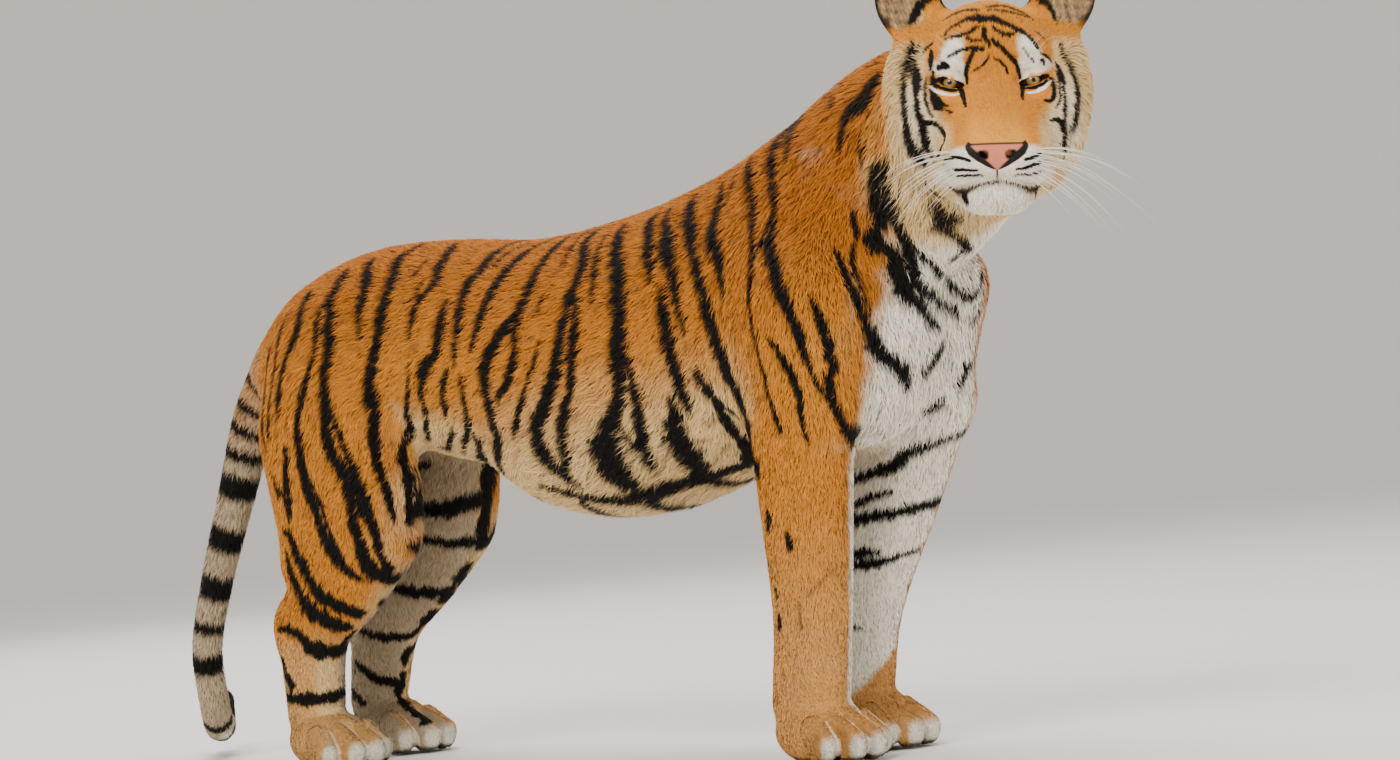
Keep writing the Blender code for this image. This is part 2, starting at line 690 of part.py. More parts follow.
def build():
    for obj in list(bpy.data.objects):
        bpy.data.objects.remove(obj)
    tiger = whole_animal()
    floor_cut(tiger)
    pieces = part_legs(tiger)
    for side, s in (("left", 1), ("right", -1)):
        fore, hind = f"fore_{side}", f"hind_{side}"
        names = ("shoulder", "forearm", "paw")
        pieces |= part_leg(pieces.pop(fore), fore, ELBOW[s], WRIST[s], FORE_HEEL[s], 0, names)
        names = ("thigh", "shank", "paw")
        pieces |= part_leg(pieces.pop(hind), hind, KNEE[s], HOCK[s], HIND_HEEL[s], 0.3, names)
        pieces[f"eye_{side}"] = eye(side, s)
    pieces |= part_trunk(pieces.pop("trunk"))
    pieces |= part_head(pieces.pop("head"))
    for name, piece in pieces.items():
        shade, roughness = FINISHES.get(name.split("_")[0], FINISHES["coat"])
        colour(piece, shade, roughness)


build()
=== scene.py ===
"""The looks of a standing bengal tiger: one seamless skin, its coat, markings, eyes and whiskers.

The skin follows the same field of distances as the tiger's solids, which are its coat's outer surface.
It lies inside them by the depth of the coat, and tufts of fur grow from it along the lie of the coat.
Lengths are in metres. The stations of the body are written with +X forward, +Y to the animal's left
and +Z up, with Z = 0 at the soles. The head's own frame is forward, left, up.
"""

from math import cos, pi, radians, sin, sqrt

import bmesh
import bpy
import numpy as np
from mathutils import Matrix, Vector


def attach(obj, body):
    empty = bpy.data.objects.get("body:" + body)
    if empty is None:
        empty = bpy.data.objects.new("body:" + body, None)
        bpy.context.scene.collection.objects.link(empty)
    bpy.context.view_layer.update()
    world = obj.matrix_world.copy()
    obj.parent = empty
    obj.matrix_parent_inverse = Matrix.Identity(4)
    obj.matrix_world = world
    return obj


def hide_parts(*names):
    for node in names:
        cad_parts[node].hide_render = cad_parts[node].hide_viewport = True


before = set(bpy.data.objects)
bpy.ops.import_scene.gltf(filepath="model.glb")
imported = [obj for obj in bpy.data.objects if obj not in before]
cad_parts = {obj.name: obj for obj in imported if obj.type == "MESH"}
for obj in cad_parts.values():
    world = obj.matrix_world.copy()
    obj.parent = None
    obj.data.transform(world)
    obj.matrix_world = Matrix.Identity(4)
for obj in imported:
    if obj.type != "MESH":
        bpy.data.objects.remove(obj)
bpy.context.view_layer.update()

# Driving dimensions. A row of TRUNK, NECK or TAIL is x, y, z, half width, half depth.
BOX_CENTRE = np.array((-0.125, -0.007, 0.0))
TRUNK = [
    (-0.716, 0.000, 0.604, 0.084, 0.082),
    (-0.624, 0.000, 0.636, 0.130, 0.122),
    (-0.500, 0.000, 0.648, 0.150, 0.148),
    (-0.350, 0.000, 0.630, 0.155, 0.168),
    (-0.200, 0.000, 0.608, 0.165, 0.178),
    (-0.060, 0.000, 0.582, 0.182, 0.208),
    (0.060, 0.000, 0.585, 0.190, 0.218),
    (0.180, 0.000, 0.608, 0.190, 0.215),
    (0.300, 0.000, 0.636, 0.182, 0.216),
    (0.410, 0.000, 0.672, 0.160, 0.205),
    (0.460, 0.000, 0.680, 0.135, 0.170),
]
NECK = [
    (0.340, 0.000, 0.680, 0.110, 0.150),
    (0.440, 0.000, 0.735, 0.120, 0.160),
    (0.540, 0.004, 0.798, 0.118, 0.166),
    (0.640, 0.008, 0.848, 0.112, 0.158),
    (0.720, 0.000, 0.866, 0.105, 0.130),
]
TAIL = [
    (-0.660, 0.000, 0.680, 0.050, 0.055),
    (-0.765, -0.006, 0.634, 0.042, 0.046),
    (-0.840, -0.016, 0.550, 0.036, 0.038),
    (-0.899, -0.019, 0.430, 0.031, 0.032),
    (-0.957, -0.025, 0.300, 0.0275, 0.0275),
    (-0.999, -0.025, 0.190, 0.026, 0.026),
    (-1.030, 0.004, 0.105, 0.026, 0.026),
    (-1.085, 0.055, 0.058, 0.026, 0.026),
    (-1.150, 0.115, 0.050, 0.025, 0.025),
    (-1.205, 0.165, 0.085, 0.022, 0.022),
]
# Joints of the legs, with -1 for the right side and +1 for the left.
ELBOW = {-1: (0.465, -0.118, 0.505), 1: (0.474, 0.121, 0.505)}
WRIST = {-1: (0.433, -0.096, 0.215), 1: (0.362, 0.085, 0.215)}
FORE_HEEL = {-1: (0.410, -0.091, 0.085), 1: (0.334, 0.080, 0.085)}
FORE_TOES_TURN = {-1: -6.0, 1: 8.0}
HIP = {-1: (-0.585, -0.098, 0.590), 1: (-0.585, 0.098, 0.590)}
KNEE = {-1: (-0.435, -0.125, 0.405), 1: (-0.545, 0.122, 0.400)}
HOCK = {-1: (-0.672, -0.112, 0.215), 1: (-0.752, 0.108, 0.212)}
HIND_HEEL = {-1: (-0.647, -0.108, 0.085), 1: (-0.742, 0.104, 0.085)}
HIND_TOES_TURN = {-1: -6.0, 1: 8.0}
SHOULDER_TOP = (0.440, 0.072, 0.826)
SHOULDER_POINT = (0.495, 0.125, 0.655)
# The head's own frame starts midway between the eyes: forward, left, up.
EYES_MIDDLE = np.array((0.862, -0.0986, 0.9266))
HEAD_TURN = {"yaw": -45.6, "pitch": 1.0, "roll": -3.2}
EYE_PLACE = (-0.0135, 0.054, 0.000)
EYE_RADIUS = 0.0175
EAR_PLACE = (-0.130, 0.107, 0.120)
EAR_RADII = (0.021, 0.047, 0.057)
EAR_LEAN = 20.0
# Fineness of the skin, and how far the distances reach.
CELL = 0.0065
FAR = 0.10
SEED = 7
# Rise of the outer corners of the eyes, in degrees.
LID_TILT = 12.0


# ---------------------------------------------------------------- rounded shapes and their blending


def turned(yaw=0.0, pitch=0.0, roll=0.0):
    """Axes as columns (forward, left, up) after a roll, a nose-up pitch and a turn to the left."""
    y, p, r = radians(yaw), radians(pitch), radians(roll)
    about_z = np.array([[cos(y), -sin(y), 0], [sin(y), cos(y), 0], [0, 0, 1]])
    about_y = np.array([[cos(p), 0, -sin(p)], [0, 1, 0], [sin(p), 0, cos(p)]])
    about_x = np.array([[1, 0, 0], [0, cos(r), -sin(r)], [0, sin(r), cos(r)]])
    return about_z @ about_y @ about_x


class Ball:
    """An ellipsoid: centre, three radii, and its axes as the columns of a matrix."""

    def __init__(self, centre, radii, axes=None):
        self.centre = np.asarray(centre, float)
        self.radii = np.asarray(radii, float)
        self.axes = np.eye(3) if axes is None else axes
        self.low = self.centre - self.radii.max()
        self.high = self.centre + self.radii.max()

    def distance(self, points):
        local = (points - self.centre) @ self.axes
        near = np.linalg.norm(local / self.radii, axis=1)
        slope = np.linalg.norm(local / self.radii**2, axis=1)
        return near * (near - 1) / np.maximum(slope, 1e-9)

    def placed(self, axes, origin):
        return Ball(origin + axes @ self.centre, self.radii, axes @ self.axes)


class Limb:
    """A tapered length of oval section; each end has a half width along side and a half depth."""

    def __init__(self, start, end, start_radii, end_radii, side=(0, 1, 0)):
        self.start, self.end = np.asarray(start, float), np.asarray(end, float)
        self.start_radii = np.asarray(start_radii, float)
        self.end_radii = np.asarray(end_radii, float)
        self.side = np.asarray(side, float)
        self.length = np.linalg.norm(self.end - self.start)
        self.along = (self.end - self.start) / self.length
        across = self.side - (self.side @ self.along) * self.along
        self.across = across / np.linalg.norm(across)
        self.deep = np.cross(self.along, self.across)
        reach = max(self.start_radii.max(), self.end_radii.max())
        self.low = np.minimum(self.start, self.end) - reach
        self.high = np.maximum(self.start, self.end) + reach

    def distance(self, points):
        offset = points - self.start
        along = offset @ self.along
        part = np.clip(along / self.length, 0, 1)
        width = self.start_radii[0] + (self.end_radii[0] - self.start_radii[0]) * part
        depth = self.start_radii[1] + (self.end_radii[1] - self.start_radii[1]) * part
        local = np.stack([offset @ self.across, offset @ self.deep, along - part * self.length], 1)
        radii = np.stack([width, depth, np.minimum(width, depth)], 1)
        near = np.linalg.norm(local / radii, axis=1)
        slope = np.linalg.norm(local / radii**2, axis=1)
        return near * (near - 1) / np.maximum(slope, 1e-9)

    def placed(self, axes, origin):
        ends = origin + axes @ self.start, origin + axes @ self.end
        return Limb(*ends, self.start_radii, self.end_radii, axes @ self.side)


def smooth_rows(rows, steps):
    """Rows along a Catmull-Rom curve through the given rows."""
    rows = np.asarray(rows, float)
    ends = np.vstack([2 * rows[0] - rows[1], rows, 2 * rows[-1] - rows[-2]])
    fine = []
    for a, b, c, d in zip(ends, ends[1:], ends[2:], ends[3:]):
        for t in np.arange(steps) / steps:
            bend = (2 * a - 5 * b + 4 * c - d) * t**2 + (3 * b - a - 3 * c + d) * t**3
            fine.append(0.5 * (2 * b + (c - a) * t + bend))
    return np.array(fine + [rows[-1]])


def limb_chain(rows, steps=4):
    """Limbs end to end along a smooth curve through rows of x, y, z, half width, half depth."""
    rows = smooth_rows(rows, steps)
    return [Limb(a[:3], b[:3], a[3:], b[3:]) for a, b in zip(rows, rows[1:])]


def soft_minimum(a, b, blend):
    overlap = np.maximum(blend - np.abs(a - b), 0) / blend
    return np.minimum(a, b) - overlap**2 * blend / 4


def group_distance(points, group):
    """Distance to the nearest of a group of shapes, no more than FAR."""
    distance = np.full(len(points), FAR)
    for shape in group:
        near = np.all((points > shape.low - FAR) & (points < shape.high + FAR), axis=1)
        near = np.flatnonzero(near)
        if len(near):
            distance[near] = np.minimum(distance[near], shape.distance(points[near]))
    return distance


# ---------------------------------------------------------------- anatomy


def paw(heel, turn, size, ahead):
    """A broad paw with four knuckled toes, ahead of the heel."""
    axes = turned(yaw=turn)
    origin = np.array((heel[0], heel[1], 0)) + axes @ (ahead, 0, 0)
    pad = Ball((-0.010, 0, 0.046), np.array((0.070, 0.062, 0.050)) * size)
    shapes = [pad]
    for forward, left in ((0.052, -0.050), (0.079, -0.0185), (0.079, 0.0185), (0.052, 0.050)):
        knuckle, tip = (forward * 0.45, left * 0.84, 0.050), (forward, left, 0.0248)
        shapes.append(Limb(knuckle, tip, (0.0215, 0.0250), (0.0215, 0.0265), turned(yaw=left * 280)[:, 1]))
    return [shape.placed(axes, origin) for shape in shapes]


def fore_leg(s):
    """Shapes of a foreleg with their blends, for the side s."""
    elbow, wrist, heel = (np.array(place[s]) for place in (ELBOW, WRIST, FORE_HEEL))
    top, point = (np.array(place) * (1, s, 1) for place in (SHOULDER_TOP, SHOULDER_POINT))
    middle = elbow * 0.55 + wrist * 0.45
    rows = [(*elbow, 0.066, 0.086), (*middle, 0.062, 0.074), (*wrist, 0.053, 0.062), (*heel, 0.053, 0.059)]
    return [
        ([Limb(top, point, (0.050, 0.085), (0.070, 0.095))], 0.05),
        ([Limb(point, elbow, (0.075, 0.095), (0.062, 0.085))], 0.05),
        ([Ball((0.400, s * 0.128, 0.640), (0.115, 0.062, 0.130))], 0.05),
        (limb_chain(rows), 0.03),
        (paw(heel, FORE_TOES_TURN[s], 1.0, 0.026), 0.012),
    ]


def hind_leg(s):
    """Shapes of a hind leg with their blends, for the side s."""
    hip, knee, hock, heel = (np.array(place[s]) for place in (HIP, KNEE, HOCK, HIND_HEEL))
    calf = knee * 0.45 + hock * 0.55 + (0.028, 0, 0.006)
    rows = [
        (*(knee - (0.010, 0, 0.020)), 0.062, 0.092),
        (*calf, 0.054, 0.086),
        (*(hock + (0.043, 0, 0)), 0.046, 0.064),
        (*heel, 0.044, 0.047),
    ]
    ham = hock + (0.05, 0, 0.10)
    return [
        ([Ball(hip + (0.030, s * 0.003, -0.055), (0.140, 0.074, 0.190), turned(pitch=-12))], 0.05),
        ([Limb(hip + (0.02, 0, -0.03), knee, (0.075, 0.120), (0.060, 0.085))], 0.05),
        ([Limb(hip - (0.020, 0, 0.07), ham + (0.005, 0, 0), (0.056, 0.078), (0.040, 0.068))], 0.05),
        (limb_chain(rows), 0.03),
        ([Ball(hock + (0, 0, 0.008), (0.032, 0.034, 0.045))], 0.03),
        (paw(heel + (0.012, 0, 0), HIND_TOES_TURN[s], 0.94, 0.022), 0.012),
    ]


def head_masses():
    """Skull, muzzle and cheeks in the head's own frame."""
    single = [
        (Ball((-0.106, 0, 0.024), (0.114, 0.094, 0.096)), 0.03),  # crown
        (Limb((-0.034, 0, 0.002), (0.086, 0, -0.082), (0.047, 0.044), (0.045, 0.034)), 0.03),  # bridge
        (Ball((0.104, 0, -0.090), (0.021, 0.034, 0.021)), 0.015),  # end of the nose
        (Ball((0.056, 0, -0.151), (0.037, 0.043, 0.027)), 0.02),  # chin
        (Ball((-0.135, 0, -0.075), (0.080, 0.098, 0.085)), 0.05),  # throat
    ]
    masses = [([shape], blend) for shape, blend in single]
    for s in (-1, 1):
        lean = turned(roll=s * -10)
        lip_back, lip_front = (-0.010, s * 0.042, -0.062), (0.072, s * 0.034, -0.101)
        jaw_front, jaw_back = (0.045, s * 0.022, -0.148), (-0.070, s * 0.066, -0.100)
        pair = [
            (Ball((-0.033, s * 0.044, 0.027), (0.042, 0.037, 0.031)), 0.03),  # brow
            (Ball((-0.055, s * 0.079, -0.032), (0.062, 0.040, 0.039)), 0.035),  # cheek bone
            (Limb(lip_back, lip_front, (0.038, 0.044), (0.036, 0.036)), 0.028),  # side of the muzzle
            (Ball((0.080, s * 0.035, -0.112), (0.037, 0.037, 0.031)), 0.02),  # whisker pad
            (Limb(jaw_front, jaw_back, (0.030, 0.030), (0.042, 0.055)), 0.03),  # jaw
            (Ball((-0.085, s * 0.076, -0.050), (0.062, 0.052, 0.074)), 0.04),  # cheek
            (Ball((-0.125, s * 0.098, -0.025), (0.046, 0.046, 0.100), lean), 0.04),  # ruff
            (Ball((-0.134, s * 0.083, 0.078), (0.027, 0.034, 0.044), lean), 0.03),  # root of the ear
        ]
        masses += [([shape], blend) for shape, blend in pair]
    return masses


def ear_shapes(s):
    """An ear and the cup in its front, in the head's own frame."""
    axes = turned(yaw=s * EAR_LEAN, pitch=-6, roll=s * -EAR_LEAN)
    place = np.array(EAR_PLACE) * (1, s, 1)
    cup_place = place + axes @ (0.026, s * -0.002, 0.008)
    return Ball(place, EAR_RADII, axes), Ball(cup_place, (0.026, 0.035, 0.044), axes)


def in_head(shapes):
    return [shape.placed(turned(**HEAD_TURN), EYES_MIDDLE) for shape in shapes]


def eye_shapes(s):
    """Lids round an eye, the opening between them, and the groove at its inner corner."""
    tilt = turned(yaw=s * 14, roll=s * LID_TILT)
    lids = Ball((EYE_PLACE[0] + 0.0015, s * EYE_PLACE[1], 0.0005), (0.0196, 0.0225, 0.0185))
    opening = Ball((0.004, s * (EYE_PLACE[1] + 0.0005), -0.0008), (0.030, 0.0172, 0.0054), tilt)
    corner_top, corner_end = (0.012, s * 0.0430, -0.0060), (0.014, s * 0.0385, -0.0150)
    corner = Limb(corner_top, corner_end, (0.0030, 0.0045), (0.0012, 0.0020))
    return lids, opening, corner


def nose_hollows(s):
    """A nostril and the slit that runs up and out from it."""
    nostril = Ball((0.122, s * 0.0165, -0.1035), (0.0130, 0.0058, 0.0052), turned(roll=s * 20))
    slit_start, slit_end = (0.119, s * 0.0215, -0.1035), (0.104, s * 0.0335, -0.0915)
    slit = Limb(slit_start, slit_end, (0.0030, 0.0040), (0.0014, 0.0030))
    return [nostril, slit]


def mouth_groove():
    """The closed mouth: a groove from the nose down, then out and back under each side of the muzzle."""
    shapes = [Limb((0.122, 0, -0.120), (0.117, 0, -0.139), (0.0016, 0.0045), (0.0022, 0.0050))]
    for s in (-1, 1):
        row = [
            (0.114, 0, -0.1395, 0.0022, 0.0050),
            (0.108, s * 0.020, -0.1425, 0.0024, 0.0055),
            (0.095, s * 0.040, -0.1475, 0.0026, 0.0060),
            (0.070, s * 0.058, -0.1490, 0.0026, 0.0065),
            (0.038, s * 0.068, -0.1430, 0.0022, 0.0055),
            (0.010, s * 0.074, -0.1330, 0.0012, 0.0030),
        ]
        shapes += limb_chain(row, 3)
    return shapes


def tiger_steps():
    """The steps that make the field: shapes added (+1) or cut away (-1), with their blend."""
    steps = [(1, limb_chain(TRUNK, 5), 0.01), (1, limb_chain(NECK, 5), 0.06)]
    steps.append((1, [Ball((0.473, 0, 0.590), (0.115, 0.128, 0.150))], 0.06))  # breast
    steps.append((1, [Ball((-0.020, 0, 0.470), (0.220, 0.120, 0.095))], 0.06))  # belly
    steps.append((1, limb_chain(TAIL), 0.05))
    for s in (-1, 1):
        steps += [(1, *mass) for mass in fore_leg(s) + hind_leg(s)]
    steps += [(1, in_head(group), blend) for group, blend in head_masses()]
    for s in (-1, 1):
        ear, cup = ear_shapes(s)
        lids, opening, corner = eye_shapes(s)
        trough = Ball((0.014, s * 0.057, 0.001), (0.019, 0.025, 0.010), turned(yaw=s * 18))
        steps.append((1, in_head([ear]), 0.020))
        steps.append((-1, in_head([cup]), 0.006))
        steps.append((-1, in_head([trough]), 0.012))
        steps.append((1, in_head([lids]), 0.007))
        steps.append((-1, in_head([corner]), 0.003))
        steps.append((-1, in_head([opening]), 0.0015))
        steps.append((-1, in_head(nose_hollows(s)), 0.003))
    steps.append((-1, in_head(mouth_groove()), 0.004))
    return steps


STEPS = tiger_steps()


BLOCK = 0.12
NEARBY = {}


def steps_near(block):
    """The steps with only those shapes that reach a block of space."""
    if block not in NEARBY:
        low = np.array(block) * BLOCK - FAR
        high = low + BLOCK + 2 * FAR
        kept = []
        for sign, group, blend in STEPS:
            group = [shape for shape in group if np.all(shape.low < high) and np.all(shape.high > low)]
            if group:
                kept.append((sign, group, blend))
        NEARBY[block] = kept
    return NEARBY[block]


def distance_to_tiger(points):
    """Signed distance to the coat's outer surface, worked out block by block of space."""
    found = np.full(len(points), FAR)
    blocks = np.floor(points / BLOCK).astype(int)
    keys = blocks @ (1, 1000, 1000000)
    order = np.argsort(keys, kind="stable")
    for part in np.split(order, np.flatnonzero(np.diff(keys[order])) + 1):
        mine, distance = points[part], found[part]
        for sign, group, blend in steps_near(tuple(blocks[part[0]])):
            near = group_distance(mine, group)
            if sign > 0:
                distance = soft_minimum(distance, near, blend)
            else:
                distance = -soft_minimum(-distance, near, blend)
        found[part] = distance
    return found


# ---------------------------------------------------------------- surface


def grid_values(distance, low, high, blocks=3):
    """Values of a distance function on a grid, worked out in full only near its surface."""
    cells = np.ceil((high - low) / CELL / blocks).astype(int) + 1
    axes = [low[k] + CELL * (blocks * np.arange(cells[k]) + (blocks - 1) / 2) for k in range(3)]
    centres = np.stack(np.meshgrid(*axes, indexing="ij"), -1).reshape(-1, 3)
    values = distance(centres).reshape(cells)
    for axis in range(3):
        values = values.repeat(blocks, axis)
    near = np.argwhere(np.abs(values) < CELL * blocks * 1.3 + 0.012)
    for part in np.array_split(near, max(1, len(near) // 300000)):
        values[tuple(part.T)] = distance(low + CELL * part)
    return values


def joined(values, filling=-0.0003):
    """Values with solid added where two solid corners of the grid would touch only along an edge."""
    while True:
        inside = values < 0
        touching = np.zeros_like(inside)
        for first, second in ((0, 1), (0, 2), (1, 2)):
            corners = []
            for a, b in ((0, 0), (1, 1), (0, 1), (1, 0)):
                at = [slice(None)] * 3
                at[first] = slice(a, a - 1 or None)
                at[second] = slice(b, b - 1 or None)
                corners.append(tuple(at))
            for one, two, three, four in (corners, corners[2:] + corners[:2]):
                touching[three] |= inside[one] & inside[two] & ~inside[three] & ~inside[four]
        if not touching.any():
            return values
        values = np.where(touching, filling, values)


def surface_net(values, low):
    """Closed quads round the cells where the values change sign, facing out."""
    values = joined(values)
    inside = values < 0
    cells = np.array(values.shape) - 1
    corners = [np.array((i, j, k)) for i in (0, 1) for j in (0, 1) for k in (0, 1)]
    views = [inside[tuple(slice(c, c + n) for c, n in zip(corner, cells))] for corner in corners]
    count = np.sum(views, axis=0)
    index = np.argwhere((count > 0) & (count < 8))
    number = np.full(tuple(cells), -1)
    number[tuple(index.T)] = np.arange(len(index))
    total, hits = np.zeros((len(index), 3)), np.zeros((len(index), 1))
    for corner in corners:
        for axis in np.flatnonzero(corner == 0):
            step = np.eye(3, dtype=int)[axis]
            a = values[tuple((index + corner).T)]
            b = values[tuple((index + corner + step).T)]
            crossed = (a < 0) != (b < 0)
            part = a[crossed] / (a[crossed] - b[crossed])
            total[crossed] += corner + part[:, None] * step
            hits[crossed] += 1
    points = low + CELL * (index + total / hits)
    quads = []
    for axis in range(3):
        u, v = (axis + 1) % 3, (axis + 2) % 3
        first, second = [slice(1, -1)] * 3, [slice(1, -1)] * 3
        first[axis], second[axis] = slice(0, -1), slice(1, None)
        a, b = inside[tuple(first)], inside[tuple(second)]
        for leaving in (True, False):
            base = np.argwhere(a & ~b if leaving else ~a & b)
            base[:, [u, v]] += 1
            ring = []
            for du, dv in ((-1, -1), (0, -1), (0, 0), (-1, 0)):
                cell = base.copy()
                cell[:, u] += du
                cell[:, v] += dv
                ring.append(number[tuple(cell.T)])
            quads.append(np.stack(ring if leaving else ring[::-1], 1))
    return points, np.vstack(quads)


CORNERS = np.array(((1, -1, -1), (-1, -1, 1), (-1, 1, -1), (1, 1, 1)))


def probed(points, probe=0.0006):
    """Distance to the surface and its slope, from four places round each point."""
    values = np.stack([distance_to_tiger(points + corner * probe) for corner in CORNERS], 1)
    return values.mean(1), values @ CORNERS / (4 * probe)


def outward(points):
    """Unit directions out of the surface."""
    slope = probed(points)[1]
    return slope / np.maximum(np.linalg.norm(slope, axis=1, keepdims=True), 1e-12)


def settled(points):
    """Points moved onto the surface along the slope of the distance."""
    value, slope = probed(points)
    steepness = np.maximum((slope**2).sum(1), 0.05)
    return points - np.clip(value / steepness, -CELL / 2, CELL / 2)[:, None] * slope


def to_head(points):
    return (points - EYES_MIDDLE) @ turned(**HEAD_TURN)


def in_stations(mesh):
    places = np.empty(len(mesh.vertices) * 3)
    mesh.vertices.foreach_get("co", places)
    return places.reshape(-1, 3)


def made_finer(mesh, chosen, passes=1):
    """Splits the faces whose middles are chosen, and puts the new corners on the surface."""
    bm = bmesh.new()
    bm.from_mesh(mesh)
    middles = np.array([face.calc_center_median() for face in bm.faces])
    picked = chosen(middles)
    faces = [face for face, pick in zip(bm.faces, picked) if pick]
    edges = list({edge for face in faces for edge in face.edges})
    old = len(bm.verts)
    bmesh.ops.subdivide_edges(bm, edges=edges, cuts=1, use_grid_fill=True)
    bm.verts.index_update()
    bm.to_mesh(mesh)
    bm.free()
    places = in_stations(mesh)
    for _ in range(passes):
        places[old:] = settled(places[old:])
    mesh.vertices.foreach_set("co", places.ravel())
    mesh.update()


def of_head(middles):
    """The whole head with its ears."""
    head = to_head(middles)
    return (head[:, 0] > -0.175) & (np.abs(head[:, 1]) < 0.17) & (np.abs(head[:, 2]) < 0.23)


def round_eyes(head, across, height, back):
    """Places within a distance across and a height of either eye, and not too far back."""
    from_eye = np.abs(np.abs(head[:, 1]) - 0.056)
    return (from_eye < across) & (np.abs(head[:, 2]) < height) & (head[:, 0] > back)


def of_face(middles):
    """The lids and the muzzle."""
    head = to_head(middles)
    eyes = round_eyes(head, 0.026, 0.020, -0.04)
    muzzle = (head[:, 0] > 0.03) & (head[:, 2] > -0.165) & (head[:, 2] < -0.070)
    return eyes | muzzle


def of_eyes(middles):
    """The rims of the eyes and the nose."""
    head = to_head(middles)
    eyes = round_eyes(head, 0.024, 0.015, -0.035)
    nose = (head[:, 0] > 0.085) & (np.abs(head[:, 1]) < 0.042) & (np.abs(head[:, 2] + 0.108) < 0.036)
    return eyes | nose


def of_paws(middles):
    """The four paws, without the tail's end."""
    return (middles[:, 2] < 0.085) & (middles[:, 0] > -0.85)


def outer_mesh():
    """The coat's outer surface, finest on the face."""
    low, high = np.array((-1.26, -0.27, -0.03)), np.array((1.00, 0.24, 1.14))
    points, quads = surface_net(grid_values(distance_to_tiger, low, high), low)
    for _ in range(2):
        points = settled(points)
    mesh = bpy.data.meshes.new("skin")
    mesh.from_pydata(points.tolist(), [], quads.tolist())
    made_finer(mesh, of_head)
    made_finer(mesh, of_paws)
    made_finer(mesh, of_face, 2)
    made_finer(mesh, of_eyes, 3)
    return mesh


# ---------------------------------------------------------------- lie of the coat

# Place, flow, then depth, length and width of the fur in millimetres; mirrored on the other side.
BODY_LIE = [
    (-0.66, 0.00, 0.74, -1.0, 0, -0.4, 8, 22, 1.8),
    (-0.45, 0.00, 0.80, -1.0, 0, 0.0, 8, 22, 1.8),
    (-0.15, 0.00, 0.79, -1.0, 0, 0.0, 8, 22, 1.8),
    (0.15, 0.00, 0.81, -1.0, 0, -0.1, 8, 22, 1.8),
    (0.40, 0.00, 0.90, -1.0, 0, -0.5, 9, 24, 1.8),
    (-0.60, 0.16, 0.62, -0.6, 0, -0.8, 9, 22, 1.8),
    (-0.40, 0.17, 0.65, -0.8, 0, -0.5, 10, 24, 1.8),
    (-0.15, 0.17, 0.62, -0.85, 0, -0.45, 10, 24, 1.8),
    (0.10, 0.19, 0.60, -0.85, 0, -0.5, 10, 24, 1.8),
    (0.30, 0.19, 0.65, -0.7, 0, -0.7, 10, 24, 1.8),
    (-0.20, 0.10, 0.44, -0.7, 0, -0.6, 14, 32, 2.0),
    (0.10, 0.12, 0.42, -0.7, 0, -0.5, 16, 34, 2.0),
    (-0.10, 0.00, 0.40, -0.9, 0, -0.2, 14, 30, 2.0),
    (0.20, 0.00, 0.39, -0.9, 0, -0.1, 14, 30, 2.0),
    (0.45, 0.19, 0.68, -0.3, 0, -1.0, 8, 22, 1.8),
    (0.50, 0.17, 0.55, -0.1, 0, -1.0, 8, 20, 1.8),
    (0.58, 0.08, 0.62, 0.1, 0, -1.0, 12, 24, 2.0),
    (0.58, 0.00, 0.52, -0.1, 0, -1.0, 14, 28, 2.0),
    (0.50, 0.00, 0.44, -0.5, 0, -0.8, 14, 30, 2.0),
    (0.62, 0.05, 0.70, 0.1, 0, -1.0, 12, 24, 2.0),
    (0.52, 0.13, 0.84, -0.4, 0, -0.9, 12, 28, 1.9),
    (0.64, 0.12, 0.90, -0.3, 0, -0.9, 14, 30, 1.9),
    (0.60, 0.00, 1.02, -0.9, 0, -0.3, 10, 26, 1.9),
    (0.45, 0.08, 0.88, -0.7, 0, -0.7, 9, 24, 1.8),
    (0.44, 0.16, 0.40, -0.1, 0, -1.0, 6, 15, 1.7),
    (0.36, 0.10, 0.40, -0.3, 0, -1.0, 7, 18, 1.7),
    (0.46, 0.06, 0.40, -0.1, 0, -1.0, 6, 15, 1.7),
    (0.42, 0.13, 0.20, 0.0, 0, -1.0, 4.5, 11, 1.6),
    (0.40, 0.05, 0.20, 0.0, 0, -1.0, 4.5, 11, 1.6),
    (0.45, 0.09, 0.08, 0.5, 0, -0.8, 3, 8, 1.4),
    (0.50, 0.09, 0.05, 0.8, 0, -0.6, 2.5, 6, 1.2),
    (0.38, 0.09, 0.03, 0.0, 0, -1.0, 3, 8, 1.4),
    (-0.55, 0.19, 0.50, -0.3, 0, -0.95, 8, 20, 1.8),
    (-0.43, 0.18, 0.45, -0.4, 0, -0.9, 8, 18, 1.8),
    (-0.68, 0.14, 0.50, -0.4, 0, -0.9, 9, 22, 1.8),
    (-0.60, 0.05, 0.50, -0.1, 0, -1.0, 8, 20, 1.8),
    (-0.58, 0.17, 0.33, -0.3, 0, -0.95, 6, 15, 1.7),
    (-0.56, 0.06, 0.33, -0.3, 0, -0.95, 6, 15, 1.7),
    (-0.68, 0.11, 0.24, -0.1, 0, -1.0, 5, 13, 1.7),
    (-0.66, 0.11, 0.14, 0.1, 0, -1.0, 4, 10, 1.6),
    (-0.60, 0.11, 0.07, 0.6, 0, -0.7, 3, 8, 1.4),
    (-0.54, 0.11, 0.04, 0.8, 0, -0.5, 2.5, 6, 1.2),
]
